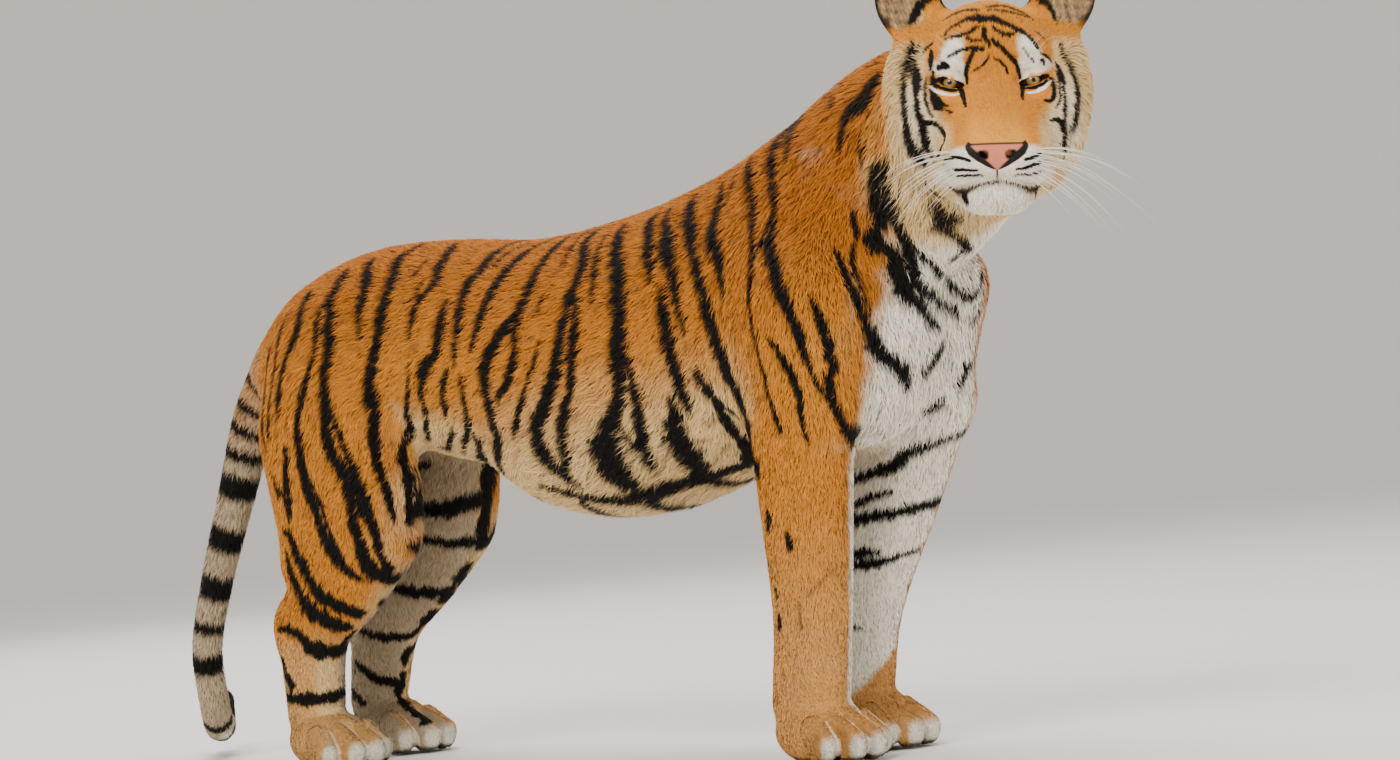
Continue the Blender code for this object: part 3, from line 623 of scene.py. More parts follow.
# The same in the head's own frame.
HEAD_LIE = [
    (0.110, 0.000, -0.075, -0.8, 0, 0.6, 1.2, 4, 0.9),
    (0.070, 0.000, -0.045, -0.6, 0, 0.8, 2.0, 6, 1.0),
    (0.020, 0.000, 0.000, -0.5, 0, 0.85, 3.0, 9, 1.1),
    (-0.010, 0.000, 0.050, -0.4, 0, 0.9, 4.0, 11, 1.2),
    (-0.060, 0.000, 0.110, -0.8, 0, 0.5, 5.0, 14, 1.3),
    (-0.130, 0.000, 0.125, -1.0, 0, 0.0, 6.0, 18, 1.5),
    (0.010, 0.045, 0.030, -0.3, 0.4, 0.85, 2.5, 8, 1.1),
    (-0.030, 0.075, 0.060, -0.6, 0.5, 0.5, 4.0, 12, 1.2),
    (0.010, 0.057, 0.013, -0.2, 0.5, 0.8, 0.7, 4, 0.8),
    (0.012, 0.060, -0.014, -0.2, 0.8, -0.2, 0.7, 4, 0.8),
    (0.020, 0.038, -0.008, -0.4, 0.2, 0.8, 0.9, 4, 0.8),
    (-0.020, 0.085, 0.000, -0.6, 0.8, -0.1, 3.0, 9, 1.2),
    (0.020, 0.065, -0.045, -0.5, 0.8, -0.4, 3.0, 9, 1.2),
    (0.070, 0.040, -0.060, -0.7, 0.5, 0.3, 2.0, 6, 1.0),
    (0.105, 0.040, -0.110, -0.5, 0.8, -0.1, 2.0, 5, 0.9),
    (0.080, 0.065, -0.110, -0.8, 0.5, -0.2, 2.5, 7, 1.0),
    (0.118, 0.000, -0.100, -1.0, 0, 0.2, 0.4, 2, 0.7),
    (0.112, 0.030, -0.097, -1.0, 0.4, 0.2, 0.5, 2, 0.7),
    (0.090, 0.020, -0.158, -0.3, 0.1, -0.9, 5.0, 12, 1.2),
    (0.060, 0.000, -0.180, -0.6, 0, -0.8, 8.0, 20, 1.4),
    (0.020, 0.070, -0.120, -0.8, 0.3, -0.4, 5.0, 13, 1.3),
    (-0.040, 0.105, -0.050, -0.6, 0.3, -0.7, 8.0, 20, 1.5),
    (-0.090, 0.130, 0.020, -0.6, 0.3, -0.6, 10.0, 26, 1.6),
    (-0.110, 0.140, -0.040, -0.5, 0.4, -0.8, 16.0, 38, 1.8),
    (-0.090, 0.120, -0.120, -0.4, 0.2, -0.9, 18.0, 44, 1.9),
    (-0.040, 0.085, -0.140, -0.6, 0.2, -0.8, 12.0, 30, 1.7),
    (-0.060, 0.000, -0.175, -0.8, 0, -0.6, 12.0, 30, 1.7),
    (-0.100, 0.090, 0.080, -0.8, 0.3, 0.2, 5.0, 14, 1.4),
    (-0.155, 0.115, 0.130, -0.1, 0.2, 1.0, 2.0, 9, 1.3),
    (-0.112, 0.118, 0.128, 0.1, -0.2, 1.0, 1.2, 9, 1.0),
    (-0.130, 0.160, 0.125, 0.0, 0.4, 0.9, 1.5, 8, 1.1),
    (-0.130, 0.078, 0.110, 0.3, 0.4, 0.9, 2.0, 14, 1.3),
]
TAIL_LIE = (7, 20, 1.9)


def lie_guides():
    """Guides as rows of place, flow and measures, in the stations' frame."""
    rows = []
    axes = turned(**HEAD_TURN)
    for table, turn, origin in ((BODY_LIE, np.eye(3), np.zeros(3)), (HEAD_LIE, axes, EYES_MIDDLE)):
        for row in table:
            for s in (-1, 1) if row[1] or row[4] else (1,):
                place = origin + turn @ (np.array(row[:3]) * (1, s, 1))
                flow = turn @ (np.array(row[3:6]) * (1, s, 1))
                rows.append((*place, *(flow / np.linalg.norm(flow)), *row[6:]))
    tail = smooth_rows(TAIL, 3)
    for before, here, after in zip(tail, tail[1:], tail[2:]):
        flow = after[:3] - before[:3]
        rows.append((*here[:3], *(flow / np.linalg.norm(flow)), *TAIL_LIE))
    return np.array(rows)


GUIDES = lie_guides()


def lie(points):
    """Flow, depth, length and width of the fur at each point, blended from the nearest guides."""
    found = np.empty((len(points), 6))
    for part in np.array_split(np.arange(len(points)), max(1, len(points) // 40000)):
        gap = ((points[part, None] - GUIDES[None, :, :3]) ** 2).sum(2)
        weight = 1 / (gap + 0.012**2) ** 2.5
        weight /= weight.sum(1, keepdims=True)
        found[part] = weight @ GUIDES[:, 3:]
    return found[:, :3], found[:, 3:] * 0.001


# ---------------------------------------------------------------- markings

# Strokes of x, z and half width; centimetres, with the half width in millimetres. They lie on the outer
# side of the body.
SIDE_STROKES = """
-39 79.5 5; -39.5 77.5 8; -38 75 9; -37.7 70 10; -38 65.5 9; -40.5 60.5 8; -41.3 56 10 / -46.5 78 4; -45.7
77 7; -44.8 76 8; -43.1 74 9; -42.9 71.5 7; -42.7 69.5 6; -42.1 66 2 / -51 76.5 5; -50.2 74.7 8; -49.7
72.3 9; -48.8 70 9; -48.3 67.3 9; -48 64.2 9; -48.6 60.7 7; -48.5 56 8; -48.3 51.7 9; -47.5 49 9; -45.1
45.5 10; -43.2 41.7 10; -43 38.5 9; -42.7 35.6 9; -43.2 32.5 12; -43 30.4 13; -41.5 28.3 12 / -48.2 57 3;
-47.6 55.5 4; -46.5 52.4 4; -44.7 48.9 5; -42.9 45.5 7; -41.1 42 8; -40.4 39.2 8; -39.7 36.4 7; -39.9 34.3
6; -40.3 32.2 7; -41 30.2 8 / -51.7 71.5 3; -51.1 68.3 5; -50.8 64.8 5; -51.6 62 4; -52.7 58.7 6; -53.8 56
6; -54.3 53.7 6; -54.5 51.2 9; -54.6 48.5 9; -54.5 45 9; -54.2 42.7 11; -53.7 40 10; -52.3 37.6 11; -50.7
35 11; -49 32.8 10; -47.5 31 8; -45.5 29.2 4 / -54 47 3; -53 44 4; -51.5 41 5; -50 38 5; -48.6 35 5; -47.3
32.5 3 / -57 74 5; -56.3 71 8; -55.9 68 8; -57.2 65.3 6; -58.3 62.7 6; -58.9 60 5; -58.9 58 7; -59 55.5 2
/ -61 71.5 3; -61.5 68 5; -61.5 64 4; -61.6 60 4; -62 56 4; -62.5 52 3 / -65.5 66 3; -65.8 62 6; -65.3 58
6; -64.6 54 5; -64 50 3 / -58 50.5 3; -58 49 5; -59.2 46.6 6; -59.7 44.2 6; -60 41.5 4; -60.5 39.5 2 /
-63.5 46 3; -62.8 43 5; -61.5 43.6 5; -61 41 5; -61.3 39 3 / -63.2 37.4 5; -61.8 36.3 6; -60.8 34 8; -58.3
31.9 10; -56.8 29.7 9; -55.2 27.6 11; -52.8 26.1 10; -51 25 11; -49.5 24 9 / -63.7 34 4; -62.8 31.6 7;
-61.2 29.4 9; -59.7 27.4 9; -58.3 25.3 12; -56 23.8 12; -54.5 22.8 12; -53 22 9 / -67 17.5 5; -66.5 15.5
7; -65 13.5 7 / -66.5 11.6 6; -62 11.2 8; -58 11 6 / -66.5 22.3 4; -63.2 22 6; -61.2 20.9 7; -60.2 19.3
10; -58.4 18.5 11; -57 18 10; -55.8 17.4 7 / -31 79 5; -29.7 78 6; -28.7 76 9; -27.7 73.6 6; -28.4 71.8 5;
-30.1 70.7 5; -30.2 69 6; -30.5 67.2 4; -30.6 65 2 / -32.3 77 2; -33 75.5 4; -32.8 74.5 2 / -30.5 74 2;
-31 72.3 4; -30.4 71 3 / -23.3 70.5 3; -23.6 67.7 9; -23.9 65 9; -24.7 62.3 8; -27.5 60.5 10; -29.1 58 7;
-30 56.5 6 / -22 59.8 4; -23.9 57 6; -25.2 54 5; -26 52.8 2 / -18.8 78.6 4; -19.3 77 7; -18.9 75.3 8;
-19.8 73.3 9; -20 71.4 8; -19.7 68.7 8; -19.5 66 6; -19.8 62.5 5; -20 60 2 / -14.5 78 3; -16.5 76 3; -17
74.5 2 / -9.3 78.3 4; -11 76.7 8; -12 75.3 9; -12.7 73.3 9; -13.5 71 9; -13.9 69 8; -14.3 66.8 7; -15.1
64.5 5; -15.7 62.5 3 / -4.5 78.3 4; -4.2 77.2 7; -4.4 74 8; -4.5 71 9; -5 68 9; -6.7 66.5 9; -8.7 64.5 10;
-10.7 62.3 10; -12.4 60 11; -12.8 57 11; -12.7 54.4 9; -13.3 51.5 9; -13.8 49 9; -17 46 7; -20 43.5 6 / -5
67.5 6; -5.2 65 7; -5 62 8; -5.6 59.8 8; -7.2 57.3 7; -9.7 55.5 5; -10.2 54 2 / -0.5 79 2; 0.2 77 4; 1.2
75.5 3; 1.4 73.2 2 / 2.8 79 4; 3.5 77.2 7; 5.1 75.6 8; 7 73.5 9; 7 71 9; 6.2 69 9; 6.2 67 8; 5.7 64.5 9;
5.4 62 10; 4.4 59.3 11; 3.3 57 11; 1.7 54.7 11; -0.6 52.4 10; -2.6 50.4 12; -3.4 48 14; -3 45.4 14; -1.5
43.5 10; 0 41.5 8 / 7.4 69.5 4; 7.9 68.3 6; 8.7 66 8; 8.6 63.7 8; 8.3 61 8; 7.8 58.5 8; 7.1 56 7; 5.8 53.8
7; 4.2 51.8 9; 2.6 49.5 9; 1.3 46.6 8; 0.5 44 6 / 0.9 63.3 2; -0.3 60.3 4; -1.9 57.8 4; -3.4 55.7 4; -5.2
53.4 5; -7.9 50.3 5; -9 49 2 / 0 70 2; -0.5 68.5 4; -0.3 67 2 / 8 77.6 3; 9 75.6 4; 10 73.3 6; 11.3 71 6;
11.8 67.8 2 / 10.5 79 4; 11.4 78 7; 12.6 76.6 9; 14.5 74.5 11; 16.3 72 12; 17.3 69 13; 18 66 13; 18 63.5
14; 17.8 60.7 14; 17.5 58 13; 17.2 55.9 9; 15.7 53 10; 13.9 51 10; 12.3 49.5 13; 11 47.5 18; 10 45 20; 9.5
42.5 20; 10 40.5 16 / 18.6 60 4; 19.4 59 5; 19.8 57 6; 19.6 54.8 8; 19.3 52.5 9; 18.5 50.2 9; 17.4 47.8
10; 16.5 45.3 9; 15.5 43 7 / 14 50.5 4; 14.5 49.5 5; 15 47.6 5; 15.3 45.7 5 / 18.2 80.2 4; 18.6 79 8; 20
77.6 9; 21.1 76 9; 22.3 74 9; 23.4 72 7; 24 70.2 3 / 21.5 80.6 3; 22 79.5 5; 23.6 78 9; 25 76.4 11; 26.2
74.3 12; 27.7 72.3 10; 28.8 70 9; 29.8 68 8; 30.3 66.3 7; 31.1 64.5 5; 31.6 62.6 3 / 26.3 69.6 4; 26.8
67.3 8; 27.4 65.3 10; 27.7 62.8 11; 27.7 60.7 11; 28 58.3 10; 28 56.3 9; 28.1 54.1 8; 28.1 52 6; 27.7 50.6
3 / 25.7 53.3 5; 25.4 51.2 8; 24.4 49.3 13; 23.4 47.2 18; 23 45 20; 22.5 43 16; 22 41.3 12 / 26.4 82 4;
26.7 81.2 7; 28.2 79.2 10; 30.4 76.6 11; 32.1 74.4 9; 33.9 71.9 8; 35.6 69 9; 36.5 66.5 10; 37.5 63.7 11;
38.1 61.2 11; 38.7 58.3 11; 39 56 10; 39.9 53.7 10; 40.6 51.1 9; 41 49 8; 39.5 46.5 12; 38 44 12 / 31.5 57
3; 32.2 55 6; 33.2 53 7; 35 51 6; 36.5 49 4 / 33 83.3 4; 34 82 5; 34.5 80 7; 35.1 78 10; 36.4 75.7 11;
38.2 73.8 10; 39.5 71.6 8; 40.4 69.6 6; 40.9 67.6 3 / 36.3 84 3; 36.7 82 4; 36.5 80.3 2 / 39.5 86.5 5; 41
83.5 7; 42.7 80.7 6; 43.9 78.6 6; 44.8 76.3 5; 45.7 74 4; 46.6 71.4 4; 46.9 69 3.5; 47.1 66 3; 46.9 60
2.5; 47 54 2.5; 48 50 3.5; 48.4 47.5 2 / 47.5 77.5 2; 47.3 75 3; 47 72 2 / 43.5 91.5 7; 44 89.4 8; 45 87.2
8; 45.5 85 8; 46.6 82.2 7; 47.7 79.2 6; 48.2 76.6 5; 48.8 74.2 7; 50.3 71.7 9; 51.9 69 9; 53.3 65.6 9;
54.1 62.3 8; 54.1 59.9 5; 54 57.7 5; 54 55 2 / 45 92.5 4; 45.8 90.6 5; 46.8 88.8 5; 47.8 87 4; 48.2 85.2 2
/ 49.5 60.5 3; 50 59.5 4; 50.8 57.4 5; 51.5 55 5; 52 51.5 4; 51.9 48 3; 51.8 45.5 2 / 53 94.5 2; 53.3 93
3; 53.5 91 2 / 62 95.5 8; 61 94 10; 60 92.3 12; 57.7 91.3 10; 57.1 89.8 7; 57 87.8 5; 57 85.8 2 / 60.5 88
2; 60.7 86 3; 61 83.5 2
"""
# Strokes of a place across, z and half width where the surface turns to the front. The place across is
# that of a three-quarter view: half of x + y, by the square root of two.
QUARTER_STROKES = """
-39.8 56 9; -39.7 52.5 9; -39.6 49.8 9; -39.2 46.6 8; -38.4 43.9 7; -37.8 41.2 6; -37.3 38 3 / -33 61.8 2;
-33.4 58.2 4; -34.1 54.7 6; -34.4 51.1 8; -34.6 47.5 9; -34.6 44 9; -34.8 40.5 8; -34.7 37.5 9 / -31.7
56.8 6; -31.3 54.5 6; -31.4 51.8 5; -32.2 47.2 4; -32.8 43.3 3; -32.6 40.9 2 / -27.2 51.5 2; -27.7 49.8 5;
-29.5 45.8 5; -30.2 41.9 3 / -25.1 59.5 2; -25 57.6 6; -24.7 54.1 7; -24.8 51.4 7; -25.7 48.7 5; -26.3
46.5 2 / -23.9 50 4; -23.7 49.1 8; -23.4 46.8 9; -23.4 43.8 12; -24.7 41.7 12 / -30 39.8 9; -28 39 12;
-26.5 38 10 / -34.6 34.3 4; -31.7 32.5 6; -28.5 31.8 7; -25.7 32.7 4 / 10.4 57 4; 12 53.5 7; 13.2 50.5 8;
14.8 47.5 9; 16.2 46 10; 16.8 43.5 14; 17.5 42.5 12 / -14.5 41.5 6; -8.8 39.5 10; -3.1 38.3 14; 2 39 18; 6
40 17; 11 41 13; 16.1 42.5 11 / -5.8 47.5 8; -5.4 45 12; -4.2 42.5 12; -2 40.5 10
"""
# Strokes of y, z and half width over the breast and the front of the neck.
FRONT_STROKES = """
-11.5 80 4; -10.5 78 5; -9.5 75.5 6; -9.3 73 7; -7.3 70.7 7; -6.5 69 8; -5.3 67 8; -4 65 7; -1.9 63.8 5;
0.3 62.3 5; 2.5 60.9 5; 5.7 59.7 2 / -10 79 3; -9.3 76.3 4; -8.2 74 5; -6.9 71.7 5; -5.6 69.6 5; -4.2 67.7
6; -2.7 66 5; -0.3 64.8 5; 2.6 63.9 4; 5.7 63 4; 8.5 62 4; 9.5 60.8 2 / -5.6 70.6 2; -4 69.2 3; -1.7 67.9
3; 0.3 66.9 3; 6 66 4; 8.8 64.9 4; 10.7 63.9 4; 12.5 64.5 3 / -6 74 6; -4.2 72.8 5; -2 71.5 4; -0.3 70.5
5; 1.5 69.7 2 / -0.3 70.5 4; -0.8 69 3 / -13.3 72.5 1.5; -13.4 71.2 3; -13.5 68.1 4; -12.4 65.2 5; -11.3
63.4 5; -10.1 61.9 6; -8.6 59.9 6; -7.4 58.4 7; -6.2 56.9 7; -4.2 55.5 6; -2.5 54.4 7; -1.3 53 6; -1.2
51.6 3 / -11 81.7 2; -10.9 77.4 2.5; -10.6 73.6 3; -11.8 69.9 3; -11 66.1 2.5; -9.6 64 2; -8.4 62.3 1 /
-18.5 66 2; -17.7 63.4 4; -16.1 59.6 5; -14.5 55.9 5; -14.6 53.6 5; -13.7 50.2 5; -11.8 47.3 6; -8.8 46 9;
-6.4 45.4 8 / -17 56 2; -16 53.5 2.5; -14.5 51 2.5; -13 49.3 2 / 7 57.3 4; 5.1 55.8 6; 2.5 53.6 4 / 13 65
2; 14 66.5 3; 14.5 67.8 2 / 12 60 2; 13.3 61 3; 14.8 62.3 2 / 10.5 51.3 2; 12 52.7 3; 13 54 3; 14.8 54.8 2
/ 5 48 2; 7 48.3 3; 8.3 49.6 2
"""
# Strokes of left, up and half width over the head, in the head's own frame.
HEAD_STROKES = """
-10.4 6.3 2; -11.2 4.5 3.5; -11.7 2.5 4.5; -12 0 5; -12.1 -2.3 5; -12 -4.5 5; -11.8 -6.5 6; -11.4 -8.3 8;
-10.4 -9.6 8; -9.4 -10.6 4 / -10.5 4.5 1.5; -10.4 3 3.5; -10.2 1.5 5.5; -10.1 0 5; -10.2 -1.5 3; -10.1
-3.5 3.5; -9.7 -5.2 4.5; -9.4 -7 5; -9.2 -8.6 4.5; -8.4 -9.7 2.5 / -8.2 5 1.5; -8.1 3.7 4.5; -8.2 2.4 3 /
-8.9 1 1.3; -9.05 -1 1.3; -8.8 -3 1.3; -8.2 -4.5 1 / -9.5 -5.2 2.3; -8.6 -5.3 2.3; -7.6 -5.7 2.3; -6.9
-6.8 2.3; -6.9 -8.2 2.3; -7.6 -9.5 1.8; -8.2 -10.5 1.2 / -7.9 1.6 2; -7.95 0 3; -7.9 -1.5 3; -7.6 -2.9 4;
-6.9 -3.5 2 / -7.2 -2 1; -6.7 -2.8 1.2; -6 -3.2 0.8 / -6.5 -3.6 0.8; -5.7 -4.1 1 / -7.9 0.1 1.5; -6.9 0.65
1.9; -5.6 0.4 2; -4.6 -0.4 2; -4.1 -1.4 1.8; -3.9 -2.6 1.1 / -7.7 0.05 1.1; -6.9 -0.5 1.3; -5.8 -0.9 1.3;
-4.8 -1.1 1.4 / -4.2 -1.3 2.5; -3.95 -2.4 2; -3.8 -3.6 1 / -7 2.2 2.5; -6.4 2.4 3.5; -5.8 2.2 2 / -5.8 3.5
1.2; -4.8 4 1.8; -3.7 4.4 1.8; -2.8 4.6 2; -2 4.5 2; -1.2 4.3 1.2 / -6 9.3 2; -4.9 9.8 2.5; -3.2 10.3 2.5;
-1.5 10.1 2 / -6.1 6.8 2; -5.5 7.6 2.3; -4.4 8.2 2.5; -3.2 8.8 3; -2 9.1 4.5; -1 8.8 5; 0.2 8.8 4.5; 1.3
8.4 4; 2.4 7.9 3; 3.6 7.3 3; 4.9 6.5 3; 5.8 5.6 3; 6.4 4.4 2 / -6 6.2 1.3; -4.9 6.5 2; -3.8 6.5 2.3; -2.8
6.9 2.3; -1.9 7.5 2; -1.3 7.8 1 / 0.3 7.7 1; 1.1 6.9 2; 2.2 6.4 2.3; 3.1 6.5 2 / -0.7 7.4 2; -0.8 6.3 2.3;
-0.4 5.5 2; 0 4.8 1.3 / -3.2 6.2 1.3; -2.3 5.6 1.8; -1.3 5.6 1 / 0.3 5.7 1.3; 1.2 4.9 2.3; 1.9 4 2; 2.6
3.2 2; 3.2 2.4 2; 3.6 1.5 1.8; 3.8 0.5 1.2 / -1 4.5 1.3; -1.9 4.3 1.8; -2.6 3.6 1.8; -3.1 2.5 1.8; -3.4
1.2 1.8; -3.3 -0.2 1 / -0.3 3.3 0.8; -1 2.4 1; -1.8 1.7 1; -2.7 1.4 0.7 / 0.4 3.1 0.8; 1.2 2.6 1; 1.9 1.8
1; 2.2 0.9 0.7 / 4.3 4.4 0.7; 5 3.4 0.8; 5.7 2.5 0.7 / 6.8 3.7 1; 7.9 3.2 2; 8.3 2.7 1 / 4.2 -0.4 1.2; 4.7
0 1.7; 5.9 0.4 2; 7.2 0.55 1.8; 7.9 0.7 1.1 / 4.4 -1.15 1.4; 5.8 -0.9 1.3; 6.9 -0.5 1.3; 7.6 0.1 1 / 4.2
-0.6 2; 4 -1.6 2; 3.9 -2.8 1.2 / 8.3 0.2 2; 8.4 -1.8 2.2; 7.9 -2.8 1.8; 7 -2.8 0.8 / 8.9 1.5 1; 9.2 -0.3
1.1; 9.2 -2.2 1.1; 8.7 -3.8 0.8 / 9.1 2.6 1.5; 9.3 2 3.5; 9.7 0.3 4; 9.8 -0.8 1.5; 9.9 -3.5 2; 9.8 -5.4 2;
9.9 -7.3 3.5; 10 -9 3.5; 9.8 -10.3 1.5 / 10 5.5 1.5; 10.6 3.9 3; 11.3 2.1 5; 11.8 0.2 5; 11.9 -1.7 5; 11.8
-3.6 5; 11.6 -5.4 5; 10.9 -7 3 / 7.7 -5.5 1; 8.8 -5.4 2; 9.6 -6.4 2 / -4.7 -15 2.5; -4.4 -16 3.5; -4.2
-16.8 1.5 / 5.4 -14.8 1.5; 5.5 -15.6 2.2; 5.3 -16.4 1 / -6.9 -10.8 1; -5.5 -10.6 1.3; -3.6 -11.1 1 / -5.8
-12.2 1; -4.7 -12.3 1.2; -2.7 -12.4 0.8 / -5.4 -13.1 1; -3.8 -13.1 1; -1.9 -13.1 0.6 / 3.7 -11.2 1; 5
-10.9 1.3; 5.8 -10.4 1 / 2.6 -12.4 0.8; 4 -12.2 1.2; 5.8 -11.7 1 / 2.4 -13.2 0.6; 4.1 -13.2 1; 5.7 -12.9 1
/ -8.6 -16 5; -7.4 -17.2 7; -5.8 -18 7; -4.6 -18.4 4 / -16 -9.5 4; -16.4 -12 6; -16.2 -14.5 7; -15.8 -17 7
/ -15.2 -9.3 3; -14.9 -11.8 4.5; -14.7 -14 5; -14 -16 5; -13.3 -18 5 / -10.2 9.5 4; -9 11.5 5; -7.2 12.8 5
/ 9.5 9 3; 8.5 11 4; 6.5 12.5 4 / 6.2 9 2; 4.5 10 2.5; 2 10.8 2.5; 0 10.7 2 / -0.1 10.1 1.4; 1.7 10 1.6;
3.6 9.6 1.6; 5.8 9.1 1 / 3.2 7.1 1.5; 4.1 6.7 1.8; 5.1 6.2 1 / 6.4 7 1.2; 7.2 6.4 1.8; 8 5.6 1.2 / -7.7 6
1.5; -8.5 5.5 2.5; -9.1 4.9 1.5 / -9.6 5.9 1.5; -10.6 4.8 2; -11.2 4 1.5 / 6.6 2.7 1; 7.1 2.6 1.6; 7.3 2.1
0.8 / -6 12 3; -3 12.6 3.5; 0 12.4 3; 3 12.6 3.5; 6 12 2
"""
# Dark skin of the lips, in the same frame.
LIP_STROKES = """
0 -11.9 1.6; 0 -13 1.3; 0 -14 2 / 0 -14 2.2; -1.7 -14.3 2.4; -3.4 -14.7 3; -4.6 -15.1 4.5; -5.6 -14.9 4;
-6.4 -14.2 2 / 0 -14 2.2; 1.7 -14.3 2.4; 3.4 -14.7 3; 4.6 -15.1 4.5; 5.6 -14.9 4; 6.4 -14.2 2
"""
# White skin under the eyes.
WHITE_STROKES = """
-8.2 -0.3 1.5; -7.4 -1.15 2.3; -6.3 -1.55 2.7; -5.3 -1.65 2.3; -4.6 -1.6 1.4 / 4.6 -1.7 1.4; 5.3 -1.7 2.3;
6.3 -1.45 2.7; 7.2 -0.95 2.3; 8 -0.1 1.5
"""
# Strokes of angle, z and half width round a leg: 0 in front, 90 on the inner side, degrees.
FORE_BANDS = {1: """
135 39.4 6; 91 40 7; 71 40.4 7; 56 41.1 8; 43 42.4 7; 26 43 5; 8 43.9 5; -29 45.2 4 / 110 35.7 4; 89 36.4
5; 70 36.9 4; 50 37.1 2 / 122 33.6 8; 89 33.7 8; 69 33.9 7; 45 34.1 6; 24 34.5 7; -3 34.9 7; -45 35.5 5;
-80 36 2 / 122 28.2 6; 85 28.5 7; 63 28.9 5; 45 28.8 2 / 122 26.9 6; 80 27 6; 56 27.1 7; 34 27.4 5; 13 28
3; -15 28.6 2 / 103 17.9 2.5; 72 18 3; 47 18 1.5 / 150 23 3; 165 24 5; 180 24 3 / -120 35 4; -105 33 5;
-110 31 3
""", -1: """
-111 36.5 3; -111 35.4 6; -118 33.8 4 / -76 33 4; -74 32 6; -73 31 4 / -110 21.5 3; -110 20.5 5; -112 19.5
3 / -115 25.5 2; -115 25 4; -115 24 2 / 130 39 5; 95 40 6; 75 41 5; 55 42 3 / 130 33 6; 95 33.6 7; 75 34
6; 58 34.5 3 / 130 27 6; 90 27.6 6; 65 28 4
"""}
FORE_BROWNS = {-1: """
-52 24 1.5; -25 26.6 2; -6 28.2 1.5; 17 27.6 1 / -66 23.5 1.5; -66 21.5 2.5; -64 19.5 1.5
""", 1: ""}
# Bands of x, z and half width on the inner side of the hind legs, taken from the left one.
INNER_STROKES = """
-66 27.8 6; -62 26.2 10; -58 25.3 10; -55 25.5 8 / -72.5 20 5; -69 19 7; -66 18.6 7; -63 18.4 7; -60 18.8
5 / -74.5 15 5; -72 13.5 7; -70 12 7; -67.5 11.3 7; -66 11.5 5 / -77.5 11.5 4; -75.5 10 6; -73 8.5 5 / -60
34.8 4; -54 33.6 7; -50 32.8 9; -45 33.6 6 / -62 41 4; -56 39.6 8; -51 38.4 13; -47 39 14; -43 40 8 / -60
46 4; -55 45 6; -50 45.5 5
"""
# Bars of y across the belly: x, half length and half width, in centimetres and millimetres.
BELLY_BARS = [(-14, 7, 9), (-2, 9, 12), (10, 11, 18), (22, 11, 16), (34, 9, 12)]
# Rings of the hanging tail: height in metres and half length in millimetres.
TAIL_RING_HEIGHTS = [
    (0.600, 6),
    (0.566, 8),
    (0.535, 9),
    (0.497, 10),
    (0.447, 20),
    (0.365, 21),
    (0.288, 21),
    (0.224, 10),
    (0.167, 17),
]
# Rings near its end: distance back from the tip in metres and half length in millimetres.
TAIL_END_RINGS = [(0.050, 50), (0.155, 18), (0.225, 12)]

# Times the strokes' half widths, as they lie aslant to the eye.
SIDE_WIDTH = 1.38
QUARTER_WIDTH = 1.15
FRONT_WIDTH = 1.85
LEG_WIDTH = 1.3
# How far the right hind leg stands ahead of the left one, along the body.
KNEES_APART = 0.085
HEAD_WIDTH = 1.65

BACK = np.array((0.44, 0.135, 0.008))
FLANK = np.array((0.60, 0.225, 0.022))
FACE_ORANGE = np.array((0.70, 0.26, 0.020))
CREAM = np.array((0.73, 0.51, 0.23))
WHITE = np.array((0.95, 0.88, 0.74))
# Grey-brown of the tail and of the hind legs' inner sides; on the legs' inner sides it is painted shade
# over their pale coat.
GREY_WHITE_AND_SHADE = np.array((0.48, 0.37, 0.24))
BLACK = np.array((0.004, 0.003, 0.0025))
BROWN = np.array((0.20, 0.085, 0.03))
NOSE_PINK = np.array((0.66, 0.215, 0.125))
EAR_SKIN = np.array((0.16, 0.09, 0.06))


def parsed(text):
    """Strokes as arrays of rows of numbers; a slash parts two strokes and a semicolon two places."""
    strokes = [stroke.split(";") for stroke in text.split("/")] if text else []
    return [np.array([[float(v) for v in spot.split()] for spot in stroke]) for stroke in strokes]


def marched(starts, directions, reach, step=0.0035):
    """Where rays meet the surface, or come nearest to it."""
    along = np.linspace(0, reach, int(reach / step))
    steps = len(along)
    rays = starts[:, None] + directions[:, None] * along[None, :, None]
    values = distance_to_tiger(rays.reshape(-1, 3)).reshape(len(starts), steps)
    inside = values < 0
    first = np.where(inside.any(1), inside.argmax(1), values.argmin(1))
    points = rays[np.arange(len(starts)), first]
    for _ in range(4):
        points = points - distance_to_tiger(points)[:, None] * outward(points)
    return points


def fine(rows, steps=4):
    return smooth_rows(rows, steps) if len(rows) > 1 else rows


def leg_middle(joints, z):
    """Middle of a leg at heights z, between its joints."""
    joints = np.array(joints)[::-1]
    return np.stack([np.interp(z, joints[:, 2], joints[:, k]) for k in (0, 1)], 1)


